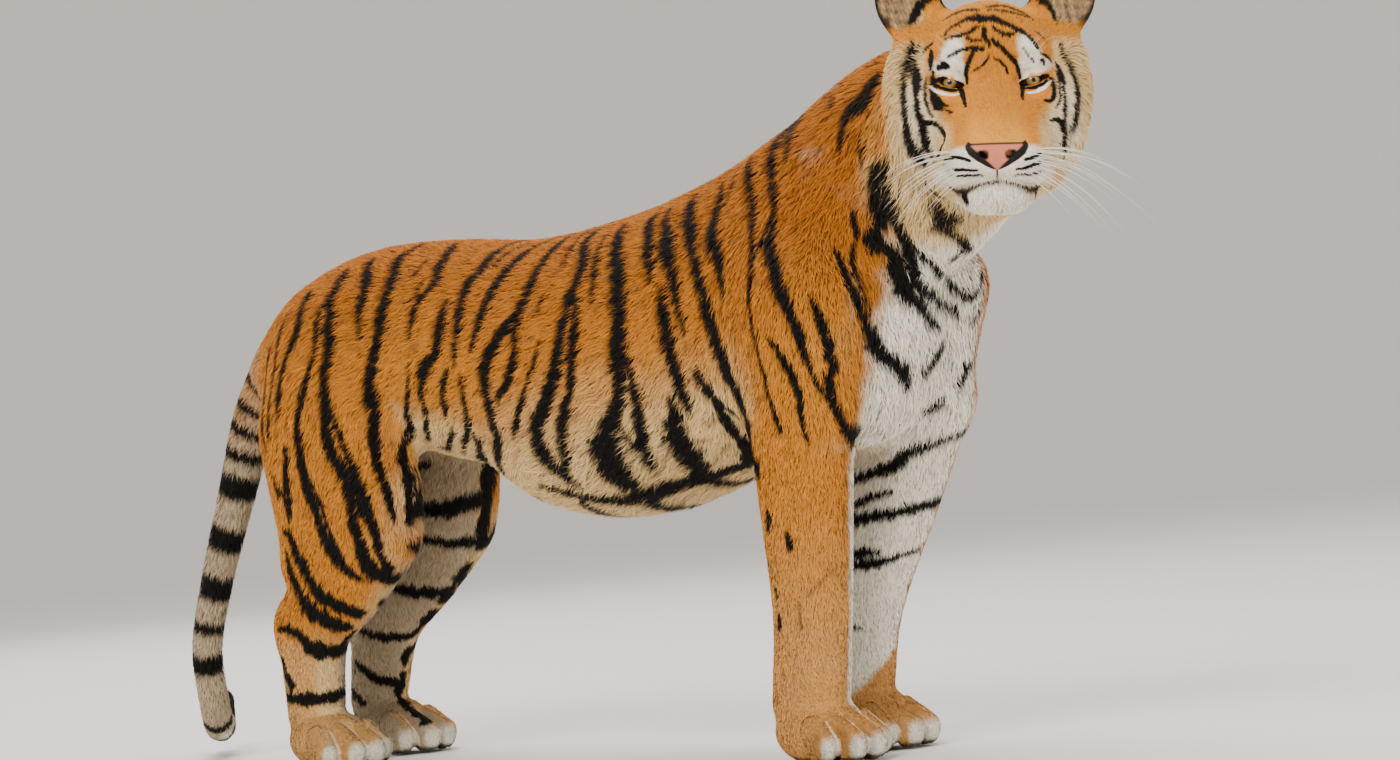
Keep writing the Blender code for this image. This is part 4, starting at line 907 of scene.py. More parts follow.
def all_strokes():
    """Marks as lists of (points on the surface, half widths) by kind."""
    marks = {"black": [], "brown": [], "lip": [], "white": []}

    def add(kind, places, way, reach, widths):
        marks[kind].append([places, np.broadcast_to(way, places.shape), reach, widths * 0.001])

    rng = np.random.default_rng(SEED)
    for rows in parsed(SIDE_STROKES):
        for s in (-1, 1):
            spot = fine(rows)
            x, z = spot[:, 0] * 0.01, spot[:, 1] * 0.01
            if s > 0:
                drift, phase = rng.uniform(-0.010, 0.010), rng.uniform(0, 6)
                x = x + drift + 0.006 * np.sin(z * 22 + phase)
            places = np.stack([x, np.full(len(x), s * 0.30), z], 1)
            add("black", places, (0, -s, 0), 0.30, spot[:, 2] * SIDE_WIDTH)
    for rows in parsed(INNER_STROKES):
        for s in (-1, 1):
            spot = fine(rows)
            x = spot[:, 0] * 0.01 + (0.0 if s > 0 else KNEES_APART)
            places = np.stack([x, np.full(len(spot), s * 0.012), spot[:, 1] * 0.01], 1)
            add("black", places, (0, s, 0), 0.20, spot[:, 2] * QUARTER_WIDTH)
    for rows in parsed(QUARTER_STROKES):
        for s in (-1, 1):
            spot = fine(rows)
            away = spot[:, 0] * 0.01 * sqrt(0.5)
            places = np.stack([away + 0.80, s * (0.80 - away), spot[:, 1] * 0.01], 1)
            inward = np.array((-1, -s, 0)) * sqrt(0.5)
            add("black", places, inward, 1.30, spot[:, 2] * QUARTER_WIDTH)
    for rows in parsed(FRONT_STROKES):
        spot = fine(rows)
        places = np.stack([np.full(len(spot), 0.76), spot[:, 0] * 0.01, spot[:, 1] * 0.01], 1)
        add("black", places, (-1, 0, 0), 0.36, spot[:, 2] * FRONT_WIDTH)
    axes = turned(**HEAD_TURN)
    for kind, text in (("black", HEAD_STROKES), ("lip", LIP_STROKES), ("white", WHITE_STROKES)):
        for rows in parsed(text):
            spot = fine(rows)
            local = np.stack([np.full(len(spot), 0.16), spot[:, 0] * 0.01, spot[:, 1] * 0.01], 1)
            widths = spot[:, 2] * HEAD_WIDTH + 0.5 if kind == "black" else spot[:, 2]
            add(kind, EYES_MIDDLE + local @ axes.T, -axes[:, 0], 0.36, widths)
    for kind, table in (("black", FORE_BANDS), ("brown", FORE_BROWNS)):
        for s, text in table.items():
            joints = [ELBOW[s], WRIST[s], FORE_HEEL[s]]
            for rows in parsed(text):
                spot = fine(rows, 6)
                angle, z = np.radians(spot[:, 0]), spot[:, 1] * 0.01
                out = np.stack([np.cos(angle), -s * np.sin(angle), np.zeros(len(z))], 1)
                middle = np.column_stack([leg_middle(joints, z), z])
                add(kind, middle + out * 0.115, -out, 0.11, spot[:, 2] * LEG_WIDTH)
    for x, half, width in BELLY_BARS:
        y = np.linspace(-half, half, 17) * 0.01
        places = np.stack([x * 0.01 + 0.006 * np.sin(y * 30), y, np.full(17, 0.30)], 1)
        add("black", places, (0, 0, 1), 0.30, np.full(17, float(width)))
    groups = {}
    for kind, items in marks.items():
        for item in items:
            groups.setdefault(item[2], []).append(item)
    for reach, items in groups.items():
        found = marched(np.vstack([i[0] for i in items]), np.vstack([i[1] for i in items]), reach)
        for item, points in zip(items, np.split(found, np.cumsum([len(i[0]) for i in items])[:-1])):
            item[0] = points
    return {kind: [(item[0], item[3]) for item in items] for kind, items in marks.items()}


MARKS = all_strokes()


def smooth(low, high, value):
    """0 below low, 1 above high and an even slope between; low may be the greater."""
    part = np.clip((value - low) / (high - low), 0, 1)
    return part * part * (3 - 2 * part)


def ripple(points, scale, seed=0):
    """Smooth noise from -1 to 1."""
    rng = np.random.default_rng(seed)
    total = np.zeros(len(points))
    for size, share in ((1, 0.5), (0.47, 0.3), (0.23, 0.2)):
        for _ in range(3):
            wave = rng.normal(size=3)
            wave *= 2 * pi / (np.linalg.norm(wave) * scale * size)
            total += share / 1.5 * np.sin(points @ wave + rng.uniform(0, 2 * pi))
    return total


def covered(points, strokes, fuzz, wobble):
    """How far each point is under one of the strokes, 0 to 1."""
    amount = np.zeros(len(points))
    for centres, widths in strokes:
        reach = widths.max() * 1.6 + 0.002
        low, high = centres.min(0) - reach, centres.max(0) + reach
        near = np.flatnonzero(np.all((points > low) & (points < high), axis=1))
        if not len(near):
            continue
        spots = points[near]
        nearest = np.full(len(near), 9.0)
        for a, b, wa, wb in zip(centres, centres[1:], widths, widths[1:]):
            line = b - a
            length = max(line @ line, 1e-12)
            part = np.clip((spots - a) @ line / length, 0, 1)
            gap = np.linalg.norm(spots - a - part[:, None] * line, axis=1)
            nearest = np.minimum(nearest, gap / (wa + (wb - wa) * part))
        nearest = nearest + wobble[near]
        amount[near] = np.maximum(amount[near], smooth(1 + fuzz, 1 - fuzz, nearest))
    return amount


def blot(l, u, centre, radii, tilt=0.0, soft=0.35):
    """A soft-edged ellipse over the head, measured in centimetres."""
    c, n = cos(radians(tilt)), sin(radians(tilt))
    a, b = l - centre[0], u - centre[1]
    size = np.hypot((a * c + b * n) / radii[0], (b * c - a * n) / radii[1])
    return smooth(1 + soft, 1 - soft, size)


def head_ground(head, facing):
    """Ground colour of the head, before its stripes."""
    f, l, u = head[:, 0], head[:, 1] * 100, head[:, 2] * 100
    side = np.abs(l)
    pale = smooth(8.3, 9.4, side) * smooth(7.5, 5.0, u)
    pale = np.maximum(pale, blot(side, u, (8.6, -8.3), (2.6, 4.6)))
    pale = np.maximum(pale, smooth(-13.0, -14.5, u))
    edge = smooth(14.0, 15.2, side) * smooth(-10, -8, u) * smooth(-0.06, -0.10, f)
    pale = pale * (1 - 0.8 * edge)
    white = blot(side, u, (5.4, 3.7), (1.45, 2.9), 20)
    white = np.maximum(white, 0.9 * blot(side, u, (4.4, 1.6), (0.8, 1.9)))
    white = np.maximum(white, 0.85 * blot(side, u, (6.4, 2.0), (2.1, 1.0), 12))
    white = np.maximum(white, blot(side, u, (3.6, -12.6), (4.4, 2.0)))
    white = np.maximum(white, blot(side, u, (4.9, -10.8), (1.7, 1.5), 0))
    white = np.maximum(white, blot(l, u, (0, -16.8), (5.2, 2.9)))
    white = np.maximum(white, 0.45 * blot(side, u, (10.2, -5.5), (2.4, 5.5)))
    warm = smooth(-6.5, -9.0, u) * smooth(3.0, 4.2, side)
    colour = FACE_ORANGE * (1 - 0.10 * (1 - warm)[:, None] * smooth(-9, 2, u)[:, None])
    bridge = smooth(-3, -9, u) * smooth(4.8, 3.0, side)
    colour = mixed(colour, FACE_ORANGE * (1.10, 1.35, 2.4), 0.8 * bridge)
    colour = mixed(colour, CREAM, pale)
    colour = mixed(colour, WHITE, white * smooth(-0.12, -0.08, f))
    ear = smooth(0.079, 0.090, head[:, 2] - 0.25 * np.maximum(0, 0.12 - side * 0.01))
    ear = ear * smooth(7.2, 7.9, side) * smooth(-0.075, -0.085, f)
    back = smooth(0.1, -0.2, facing[:, 0])
    spot = blot(side, u, (11.8, 13.0), (2.6, 1.9), 0, 0.2) * smooth(-0.35, -0.55, facing[:, 0])
    behind = mixed(mixed(FLANK * np.ones((len(l), 1)), BLACK, smooth(9.5, 11.0, u)), WHITE, spot)
    inside = mixed(EAR_SKIN * np.ones((len(l), 1)), CREAM, 0.30 + 0.40 * ripple(head, 0.012, 3))
    inside = mixed(inside, CREAM, 0.75 * smooth(11.0, 9.0, side) * smooth(13.5, 11.0, u))
    rim = smooth(0.75, 0.45, facing[:, 0]) * smooth(10.0, 11.5, side + 0.3 * (u - 11))
    inside = mixed(inside, BLACK, 0.9 * rim)
    inside = mixed(inside, FACE_ORANGE, smooth(9.2, 8.2, side))
    return mixed(colour, mixed(inside, behind, back), ear)


def mixed(a, b, share):
    return a + (b - a) * np.reshape(share, (-1, 1))


# Half width of the white breast at rising heights: metres, and millimetres.
CHEST_EDGE = [
    (0.45, 62),
    (0.50, 82),
    (0.56, 78),
    (0.60, 84),
    (0.66, 60),
    (0.72, 72),
    (0.80, 95),
    (0.90, 115),
]


def body_ground(points, facing):
    """Ground colour of the trunk, neck, legs and tail."""
    x, y, z = points.T
    nx, ny, nz = facing.T
    side = smooth(0.80, 0.52, z + 0.03 * ripple(points, 0.35, 1))
    colour = mixed(BACK * np.ones((len(x), 1)), FLANK, side)
    colour = mixed(colour, CREAM, 0.32 * smooth(0.42, 0.12, z) * smooth(0.20, 0.26, x))
    level = np.interp(x, (-0.40, -0.20, -0.07, 0.05, 0.15, 0.42), (0.485, 0.485, 0.515, 0.52, 0.545, 0.555))
    trunk = smooth(-0.45, -0.34, x) * smooth(0.46, 0.41, x) * smooth(0.33, 0.37, z)
    legs = np.maximum(smooth(0.27, 0.33, x), smooth(-0.34, -0.40, x)) * smooth(0.52, 0.47, z)
    trunk = trunk * (1 - legs * smooth(0.07, 0.11, np.abs(y)))
    belly = smooth(level + 0.085, level - 0.075, z + 0.015 * ripple(points, 0.08, 2)) * trunk
    colour = mixed(colour, CREAM, 0.85 * belly)
    colour = mixed(colour, WHITE, 0.22 * belly * smooth(0.46, 0.40, z))
    edge = np.interp(z, *zip(*CHEST_EDGE)) * 0.001
    front = smooth(-0.018, 0.022, edge - np.abs(np.minimum(y, 0)) + 0.008 * ripple(points, 0.05, 9))
    front = front * smooth(0.17, 0.13, y) * smooth(0.05, 0.30, nx + 0.35 * np.maximum(ny, 0))
    front = front * smooth(0.40, 0.48, x) * smooth(1.00, 0.84, z) * smooth(0.40, 0.43, z)
    under = smooth(-0.3, -0.6, nz) * smooth(0.30, 0.42, z) * smooth(-0.6, -0.5, x)
    colour = mixed(colour, WHITE, front)
    colour = mixed(colour, CREAM * 1.05, under * (1 - front))
    for s in (-1, 1):
        inner = -s * ny
        fore = (s * y > 0) * smooth(0.47, 0.40, z) * smooth(0.20, 0.26, x)
        if s > 0:
            edge = np.interp(z, (0.07, 0.11, 0.15), (1.1, 0.55, -0.45))
        else:
            edge = np.full(len(z), 0.35)
        colour = mixed(colour, WHITE, fore * smooth(edge - 0.15, edge + 0.15, inner))
        hind = (s * y > 0) * smooth(0.62, 0.50, z) * smooth(-0.36, -0.42, x) * smooth(-0.80, -0.79, x)
        pale = np.maximum(smooth(0.0, 0.35, inner), smooth(0.30, 0.75, nx) * smooth(0.40, 0.32, z))
        pale = np.maximum(pale, 0.5 * smooth(0.24, 0.16, z))
        # The inner side of each hind leg turns to the grey-brown: painted shade over its pale coat.
        hind_pale_and_shade = mixed(CREAM * np.ones((len(x), 1)), GREY_WHITE_AND_SHADE, smooth(0, 0.4, inner))
        colour = mixed(colour, hind_pale_and_shade, hind * pale)
    tail = smooth(-0.72, -0.80, x) * (z < 0.66) * (np.abs(y) < 0.075) + (x < -0.90)
    tail = np.clip(tail, 0, 1)
    grey = smooth(0.60, 0.46, z + 0.03 * nz)
    tail_colour = mixed(mixed(FLANK * np.ones((len(x), 1)), GREY_WHITE_AND_SHADE, 0.45), GREY_WHITE_AND_SHADE, grey)
    colour = mixed(colour, tail_colour, tail)
    toes = smooth(0.050, 0.030, z) * smooth(0.2, 0.5, nx)
    colour = mixed(colour, WHITE * 0.85, toes)
    # Black on the pads of the soles, and painted shade on the sides of the front toes, in the gaps between
    # them.
    toe_gap_shade = smooth(0.060, 0.045, z) * smooth(0.55, 0.85, np.abs(ny)) * smooth(0.46, 0.49, x)
    soles = smooth(0.014, 0.006, z) + 0.3 * toe_gap_shade
    colour = mixed(colour, BLACK * 2, np.clip(soles, 0, 0.9))
    return colour


def tail_length(points):
    """Distance of each point along the tail, and that of the tail's own stations by height."""
    rows = smooth_rows(TAIL, 8)[:, :3]
    along = np.concatenate([[0], np.cumsum(np.linalg.norm(np.diff(rows, axis=0), axis=1))])
    best, place = np.full(len(points), 9.0), np.zeros(len(points))
    for a, b, start in zip(rows, rows[1:], along):
        line = b - a
        part = np.clip((points - a) @ line / (line @ line), 0, 1)
        gap = np.linalg.norm(points - a - part[:, None] * line, axis=1)
        nearer = gap < best
        best[nearer] = gap[nearer]
        place[nearer] = start + part[nearer] * np.linalg.norm(line)
    return place, best, rows, along


def tail_rings(points, wobble):
    """How far each point lies in one of the tail's black rings."""
    amount = np.zeros(len(points))
    near = np.flatnonzero((points[:, 0] < -0.74) & (points[:, 2] < 0.68) & (np.abs(points[:, 1]) < 0.21))
    place, gap, rows, along = tail_length(points[near])
    hanging = slice(0, int(np.argmin(rows[:, 2])) + 1)
    heights, lengths = rows[hanging, 2][::-1], along[hanging][::-1]
    rings = [(np.interp(z, heights, lengths), half) for z, half in TAIL_RING_HEIGHTS]
    rings += [(along[-1] + TAIL[-1][3] - back, half) for back, half in TAIL_END_RINGS]
    for middle, half in rings:
        size = np.abs(place - middle) / (half * 0.001)
        ring = smooth(1.12, 0.88, size + 0.6 * wobble[near] * 8 / half) * (gap < 0.06)
        amount[near] = np.maximum(amount[near], ring)
    return amount


def fur_colour(points, facing):
    """Colours of the coat and skin at points on the surface, linear."""
    head = to_head(points)
    ahead, across = head[:, 0], np.abs(head[:, 1])
    of_it = smooth(-0.185, -0.150, ahead) * smooth(0.21, 0.18, across) * (points[:, 2] > 0.60)
    of_head_only = head_ground(head, facing @ turned(**HEAD_TURN))
    colour = mixed(body_ground(points, facing), of_head_only, of_it)
    wobble = 0.30 * ripple(points, 0.018, 4) + 0.12 * ripple(points, 0.006, 5)
    fine_wobble = wobble * (1 - 0.55 * of_it)
    flecks = smooth(0.62, 0.80, ripple(points * (0.6, 1, 1), 0.022, 6)) * 0.5
    flecks = flecks * (1 - of_it) * smooth(0.30, 0.45, points[:, 2]) * smooth(0.60, 0.50, points[:, 0])
    colour = mixed(colour, BROWN, flecks)
    colour = mixed(colour, BROWN, 0.75 * covered(points, MARKS["brown"], 0.5, fine_wobble))
    black = np.maximum(covered(points, MARKS["black"], 0.16, fine_wobble), tail_rings(points, wobble))
    colour = mixed(colour, BLACK, black)
    colour = mixed(colour, WHITE, covered(points, MARKS["white"], 0.3, np.zeros(len(points))))
    lip = covered(points, MARKS["lip"], 0.3, np.zeros(len(points))) * of_it
    return mixed(colour, BLACK * 1.6, 0.95 * lip)


def bare_skin(points):
    """Share of bare skin: nose leather and the rims of the eyelids; and its colour."""
    head = to_head(points)
    f, l, u = head[:, 0], head[:, 1] * 100, head[:, 2] * 100
    half = np.interp(u, (-12.5, -12.0, -11.2, -10.4, -9.6, -9.1, -8.7), (0.2, 1.4, 2.8, 3.8, 4.2, 4.2, 3.9))
    top = smooth(-8.7, -9.0, u - 0.35 * smooth(3.3, 4.0, np.abs(l)))
    side = np.abs(l)
    leather = top * smooth(half + 0.2, half - 0.1, side) * smooth(0.075, 0.085, f) * smooth(-12.7, -12.3, u)
    pink_half = np.interp(u, (-12.3, -11.8, -11.1, -10.4, -9.8, -9.3), (0.2, 0.7, 1.5, 2.2, 2.9, 3.4))
    pink = smooth(pink_half + 0.25, pink_half - 0.25, np.abs(l)) * smooth(-9.0, -9.25, u)
    nostril = blot(np.abs(l), u, (1.9, -10.45), (0.85, 0.50), 35, 0.25)
    colour = mixed(BLACK * 1.5 * np.ones((len(l), 1)), NOSE_PINK, pink * (1 - nostril))
    eyes = [np.array(EYE_PLACE) * (1, s, 1) for s in (-1, 1)]
    near_eye = np.min([np.linalg.norm(head - eye, axis=1) for eye in eyes], axis=0)
    rim = smooth(EYE_RADIUS + 0.0024, EYE_RADIUS + 0.0010, near_eye)
    share = np.maximum(leather, rim)
    return share, mixed(colour, BLACK, rim * (1 - leather))


# ---------------------------------------------------------------- skin and coat

TUFTS = 450000
COVER_LIMIT = 0.62
SPREAD_ANGLE = 13.0
BAKE_PATCH = 0.003
# Shares of the tuft's length and of the coat's depth at which its middle and tip lie.
MIDDLE_HEIGHT = 0.62
TIP_HEIGHT = (0.70, 1.0)


def add_colours(mesh, colours, share=None):
    """Paints a mesh point by point; the alpha holds the share of bare skin."""
    layer = mesh.color_attributes.new("fur", "FLOAT_COLOR", "POINT")
    values = np.ones((len(colours), 4))
    values[:, :3] = np.clip(colours, 0, 1)
    if share is not None:
        values[:, 3] = share
    layer.data.foreach_set("color", values.astype(np.float32).ravel())


def add_object(name, mesh, material, slot, *nodes):
    """Links a piece that rides on the animal, stands for the nodes and wears the given material; its slot
    is not used.
    """
    obj = bpy.data.objects.new(name, mesh)
    bpy.context.collection.objects.link(obj)
    mesh.materials.append(material)
    mesh.polygons.foreach_set("use_smooth", np.ones(len(mesh.polygons), bool))
    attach(obj, "root")
    if nodes:
        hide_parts(*nodes)
    return obj


class Nodes:
    """A material's nodes, made and joined by name."""

    def __init__(self, name):
        self.material = bpy.data.materials.new(name)
        self.material.use_nodes = True
        self.tree = self.material.node_tree
        self.shader = self.tree.nodes["Principled BSDF"]

    def add(self, kind, values=None, **settings):
        node = self.tree.nodes.new(kind)
        for key, value in settings.items():
            setattr(node, key, value)
        for key, value in (values or {}).items():
            if isinstance(value, bpy.types.NodeSocket):
                self.tree.links.new(value, node.inputs[key])
            else:
                node.inputs[key].default_value = value
        return node

    def drive(self, socket, output):
        self.tree.links.new(output, self.shader.inputs[socket])

    def noise(self, scale, detail=3.0):
        place = self.add("ShaderNodeTexCoord").outputs["Object"]
        values = {"Vector": place, "Scale": scale, "Detail": detail}
        return self.add("ShaderNodeTexNoise", values).outputs["Fac"]

    def ranged(self, value, low, high):
        values = {"Value": value, "To Min": low, "To Max": high}
        return self.add("ShaderNodeMapRange", values).outputs["Result"]


def fur_material(name, roughness, bump):
    """Hair lit softly: its colour from the mesh, with patchy shade, and fine strands in its bump."""
    nodes = Nodes(name)
    paint = nodes.add("ShaderNodeAttribute", attribute_name="fur")
    shade = nodes.ranged(nodes.noise(26.0), 0.86, 1.12)
    tint = nodes.add("ShaderNodeHueSaturation", {"Color": paint.outputs["Color"], "Value": shade})
    nodes.drive("Base Color", tint.outputs["Color"])
    grain = nodes.ranged(nodes.noise(140.0), roughness - 0.08, roughness + 0.10)
    nodes.drive("Roughness", grain)
    strands = nodes.noise(900.0, 2.0)
    height = nodes.add("ShaderNodeBump", {"Height": strands, "Strength": bump, "Distance": 0.0015})
    nodes.drive("Normal", height.outputs["Normal"])
    nodes.shader.inputs["Sheen Weight"].default_value = 0.03
    nodes.shader.inputs["Sheen Roughness"].default_value = 0.5
    nodes.shader.inputs["Specular IOR Level"].default_value = 0.16
    return nodes


def skin_material():
    """The same hair close to the skin, and bare, moist skin where the paint's alpha says."""
    nodes = fur_material("skin", 0.80, 0.5)
    bare = nodes.tree.nodes["Attribute"].outputs["Alpha"]
    rough = nodes.shader.inputs["Roughness"].links[0].from_socket
    mixed_rough = nodes.add("ShaderNodeMix", {"Factor": bare, "A": rough, "B": 0.36})
    nodes.drive("Roughness", mixed_rough.outputs["Result"])
    return nodes.material


def body_skin():
    """The skin, inside the coat by its depth, with each vertex's surface point and direction."""
    mesh = outer_mesh()
    places = in_stations(mesh)
    facing = outward(places)
    _, measures = lie(places)
    share, bare = bare_skin(places)
    colours = mixed(fur_colour(places, facing), bare, share)
    depth = measures[:, 0] * (1 - share)
    mesh.vertices.foreach_set("co", (places - facing * depth[:, None] - BOX_CENTRE).ravel())
    mesh.update()
    add_colours(mesh, colours, share)
    names = [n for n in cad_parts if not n.startswith("eye_")]
    add_object("skin", mesh, skin_material(), "coat", *names)
    return mesh, places, facing, share


def roots(mesh, places, facing, share):
    """Places for the tufts over the skin, as points on the coat's surface, with their directions."""
    mesh.calc_loop_triangles()
    corners = np.empty(len(mesh.loop_triangles) * 3, int)
    mesh.loop_triangles.foreach_get("vertices", corners)
    corners = corners.reshape(-1, 3)
    a, b, c = (places[corners[:, k]] for k in range(3))
    area = np.linalg.norm(np.cross(b - a, c - a), axis=1) / 2
    middle = (a + b + c) / 3
    _, measures = lie(middle)
    density = np.minimum(1e-6 / (measures[:, 1] * measures[:, 2] * 0.22), COVER_LIMIT)
    density = density * smooth(0.6, 0.2, share[corners].mean(1))
    head = to_head(middle)
    for s in (-1, 1):
        away = np.linalg.norm(head - np.array(EYE_PLACE) * (1, s, 1), axis=1)
        density = density * (away > EYE_RADIUS + 0.0012)
    density = density * (middle[:, 2] > 0.006)
    total = np.cumsum(area * density)
    rng = np.random.default_rng(SEED)
    chosen = np.searchsorted(total, np.sort(rng.random(TUFTS)) * total[-1])
    u, v = rng.random((2, TUFTS))
    flip = u + v > 1
    u[flip], v[flip] = 1 - u[flip], 1 - v[flip]
    weights = np.stack([1 - u - v, u, v], 1)[:, :, None]
    spots = (places[corners[chosen]] * weights).sum(1)
    ways = (facing[corners[chosen]] * weights).sum(1)
    return spots, ways / np.linalg.norm(ways, axis=1, keepdims=True)


def tuft_shapes(spots, ways):
    """Five corners of each tuft: two at its root, two at its middle and one at its tip."""
    rng = np.random.default_rng(SEED + 1)
    count = len(spots)
    flow, measures = lie(spots)
    depth, length, width = measures.T
    length = length * rng.uniform(0.72, 1.22, count)
    width = width * rng.uniform(0.75, 1.2, count)
    along = flow - (flow * ways).sum(1)[:, None] * ways
    along /= np.maximum(np.linalg.norm(along, axis=1, keepdims=True), 1e-9)
    across = np.cross(along, ways)
    swing = np.radians(rng.normal(0, SPREAD_ANGLE, count) + 16 * ripple(spots, 0.05, 8))
    along, across = (
        along * np.cos(swing)[:, None] + across * np.sin(swing)[:, None],
        across * np.cos(swing)[:, None] - along * np.sin(swing)[:, None],
    )
    base = spots - ways * (depth + 0.0004)[:, None]
    middle = base + along * (length * 0.5)[:, None]
    tip = base + along * length[:, None] + across * (length * rng.normal(0, 0.10, count))[:, None]
    reach = rng.uniform(*TIP_HEIGHT, count)
    middle_height = depth * MIDDLE_HEIGHT * rng.uniform(0.8, 1.1, count)
    for place, height in ((middle, middle_height), (tip, depth * reach)):
        gap = distance_to_tiger(place) + depth - height
        place -= ways * np.clip(gap, -0.03, 0.03)[:, None]
    side = across * (width / 2)[:, None]
    lean = ways * (width * rng.normal(0, 0.18, count))[:, None]
    waist = side * 0.8 + lean
    shapes = np.stack([base - side, base + side, middle + waist, middle - waist, tip], 1)
    above_middle = middle + ways * (depth * (1 - MIDDLE_HEIGHT))[:, None]
    above_tip = tip + ways * (depth * (1 - reach))[:, None]
    return shapes, above_middle, above_tip


def tuft_colours(spots, ways, above_middle, above_tip):
    """Colours of the five corners: each takes the marking that it lies over, a little late, with painted
    shade at the root.
    """
    rng = np.random.default_rng(SEED + 2)
    near = fur_colour(spots * 0.35 + above_middle * 0.65, ways)
    far = fur_colour(above_middle * 0.3 + above_tip * 0.7, ways)
    bright = rng.uniform(0.80, 1.16, len(spots))[:, None]
    shade = bright * (1 + rng.normal(0, 0.03, (len(spots), 3)))
    # The root corners are darkened to 0.62 as painted shade deep in the coat; the tip is brightened by
    # 1.12.
    corners = [near * 0.62, near * 0.62, near * 0.98, near * 0.98, far * 1.12]
    return np.stack([corner * shade for corner in corners], 1)


def angle_chart(points, along, centre, out, left):
    """Distance along and angle round a middle line, both 0 to 1."""
    offset = points - centre
    angle = np.arctan2(offset @ left, offset @ out) / (2 * pi) + 0.5
    return np.stack([np.clip(along, 0, 1), angle], 1)


X, Y, Z = np.eye(3)


def chart(name, points):
    """Places of the roots on an unwrap of the skin."""
    if "head" in name or "ruff" in name:
        head = to_head(points) - (-0.06, 0, -0.02)
        return angle_chart(head, (head[:, 1] + 0.19) / 0.38, 0, X, Z)
    if "ear" in name:
        head = to_head(points)
        side = head[:, 1] > 0
        local = head - np.array(EAR_PLACE) * (1, 0, 1)
        local[:, 1] -= np.where(side, 1, -1) * EAR_PLACE[1]
        flat = angle_chart(local, (local[:, 2] + 0.09) / 0.18, 0, X, Y)
        flat[:, 0] = flat[:, 0] * 0.5 + side * 0.5
        return flat
    if "fore" in name or "hind" in name:
        s = -1 if "right" in name else 1
        joints = (ELBOW, WRIST, FORE_HEEL) if "fore" in name else (KNEE, HOCK, HIND_HEEL)
        middle = leg_middle([j[s] for j in joints], points[:, 2])
        centre = np.column_stack([middle, points[:, 2]])
        return angle_chart(points, points[:, 2] / 0.6, centre, X, Y)
    if "tail" in name:
        place, _, rows, along = tail_length(points)
        centre = np.stack([np.interp(place, along, rows[:, k]) for k in range(3)], 1)
        return angle_chart(points, place / (along[-1] + 0.03), centre, X * 0.6 + Z * 0.8, Y)
    height = np.interp(points[:, 0], (0.4, 0.7), (0.62, 0.84))
    centre = np.column_stack([points[:, 0], np.zeros(len(points)), height])
    return angle_chart(points, (points[:, 0] + 0.8) / 1.7, centre, -Z, Y)


def regions(points):
    """Which piece of the coat each root belongs to."""
    x, y, z = points.T
    head = to_head(points)
    name = np.full(len(points), "coat_hindquarters", dtype="U24")
    name[x > -0.38] = "coat_barrel"
    name[x > 0.22] = "coat_shoulders"
    name[(x > 0.46) & (z > 0.66)] = "coat_neck"
    name[(z < 0.47) & (x > 0.24)] = "coat_fore"
    name[(z < 0.47) & (x < -0.36)] = "coat_hind"
    hanging = (x < -0.72) & (z < 0.66) & (z > 0.30) & (np.abs(y) < 0.075)
    name[hanging | (x < -0.90)] = "coat_tail"
    trunk = np.isin(name, ("coat_hindquarters", "coat_barrel", "coat_shoulders", "coat_fore", "coat_hind"))
    left, right = np.char.add(name, "_left"), np.char.add(name, "_right")
    name = np.where(trunk, np.where(y > 0, left, right), name)
    of_it = (head[:, 0] > -0.185) & (np.abs(head[:, 1]) < 0.20) & (z > 0.60)
    name[of_it] = "coat_ruff"
    name[of_it & (head[:, 0] > -0.075)] = "coat_head"
    ears = of_it & (head[:, 2] > 0.085) & (np.abs(head[:, 1]) > 0.075) & (head[:, 0] < -0.08)
    name[ears] = "coat_ears"
    return name


def coat(mesh, places, facing, share):
    """Tufts of fur over the whole skin, in one piece for each region."""
    spots, ways = roots(mesh, places, facing, share)
    shapes, above_middle, above_tip = tuft_shapes(spots, ways)
    colours = tuft_colours(spots, ways, above_middle, above_tip)
    names = regions(spots)
    material = fur_material("coat", 0.72, 0.25).material
    uneven = np.array([(-0.5, 0), (0.5, 0), (0.4, 0.5), (-0.4, 0.5), (0, 1)]) * BAKE_PATCH
    for name in sorted(set(names)):
        mine = names == name
        count = int(mine.sum())
        first = np.arange(count)[:, None] * 5
        quads, tips = first + (0, 1, 2, 3), first + (3, 2, 4)
        piece = bpy.data.meshes.new(name)
        piece.vertices.add(count * 5)
        piece.vertices.foreach_set("co", (shapes[mine] - BOX_CENTRE).ravel())
        loops = np.hstack([quads, tips]).ravel()
        piece.loops.add(len(loops))
        piece.loops.foreach_set("vertex_index", loops)
        piece.polygons.add(count * 2)
        starts = (np.arange(count)[:, None] * 7 + (0, 4)).ravel()
        piece.polygons.foreach_set("loop_start", starts)
        piece.update(calc_edges=True)
        add_colours(piece, colours[mine].reshape(-1, 3))
        flat = chart(name, spots[mine])[:, None] * (1 - 2 * BAKE_PATCH) + BAKE_PATCH + uneven
        layer = piece.uv_layers.new(name="OFBake")
        layer.data.foreach_set("uv", flat.reshape(-1, 2)[loops].astype(np.float32).ravel())
        add_object(name, piece, material, "coat")


# ---------------------------------------------------------------- eyes and whiskers

IRIS_RADIUS = 0.0096
PUPIL_RADIUS = 0.0031
CORNEA_RADIUS = 0.0110
CORNEA_AHEAD = 0.0093
GAZE_OUT = 9.0
GAZE_UP = 2.0
AMBER = np.array((0.27, 0.15, 0.032))
OLIVE = np.array((0.15, 0.11, 0.032))
IRIS_EDGE = np.array((0.016, 0.010, 0.006))


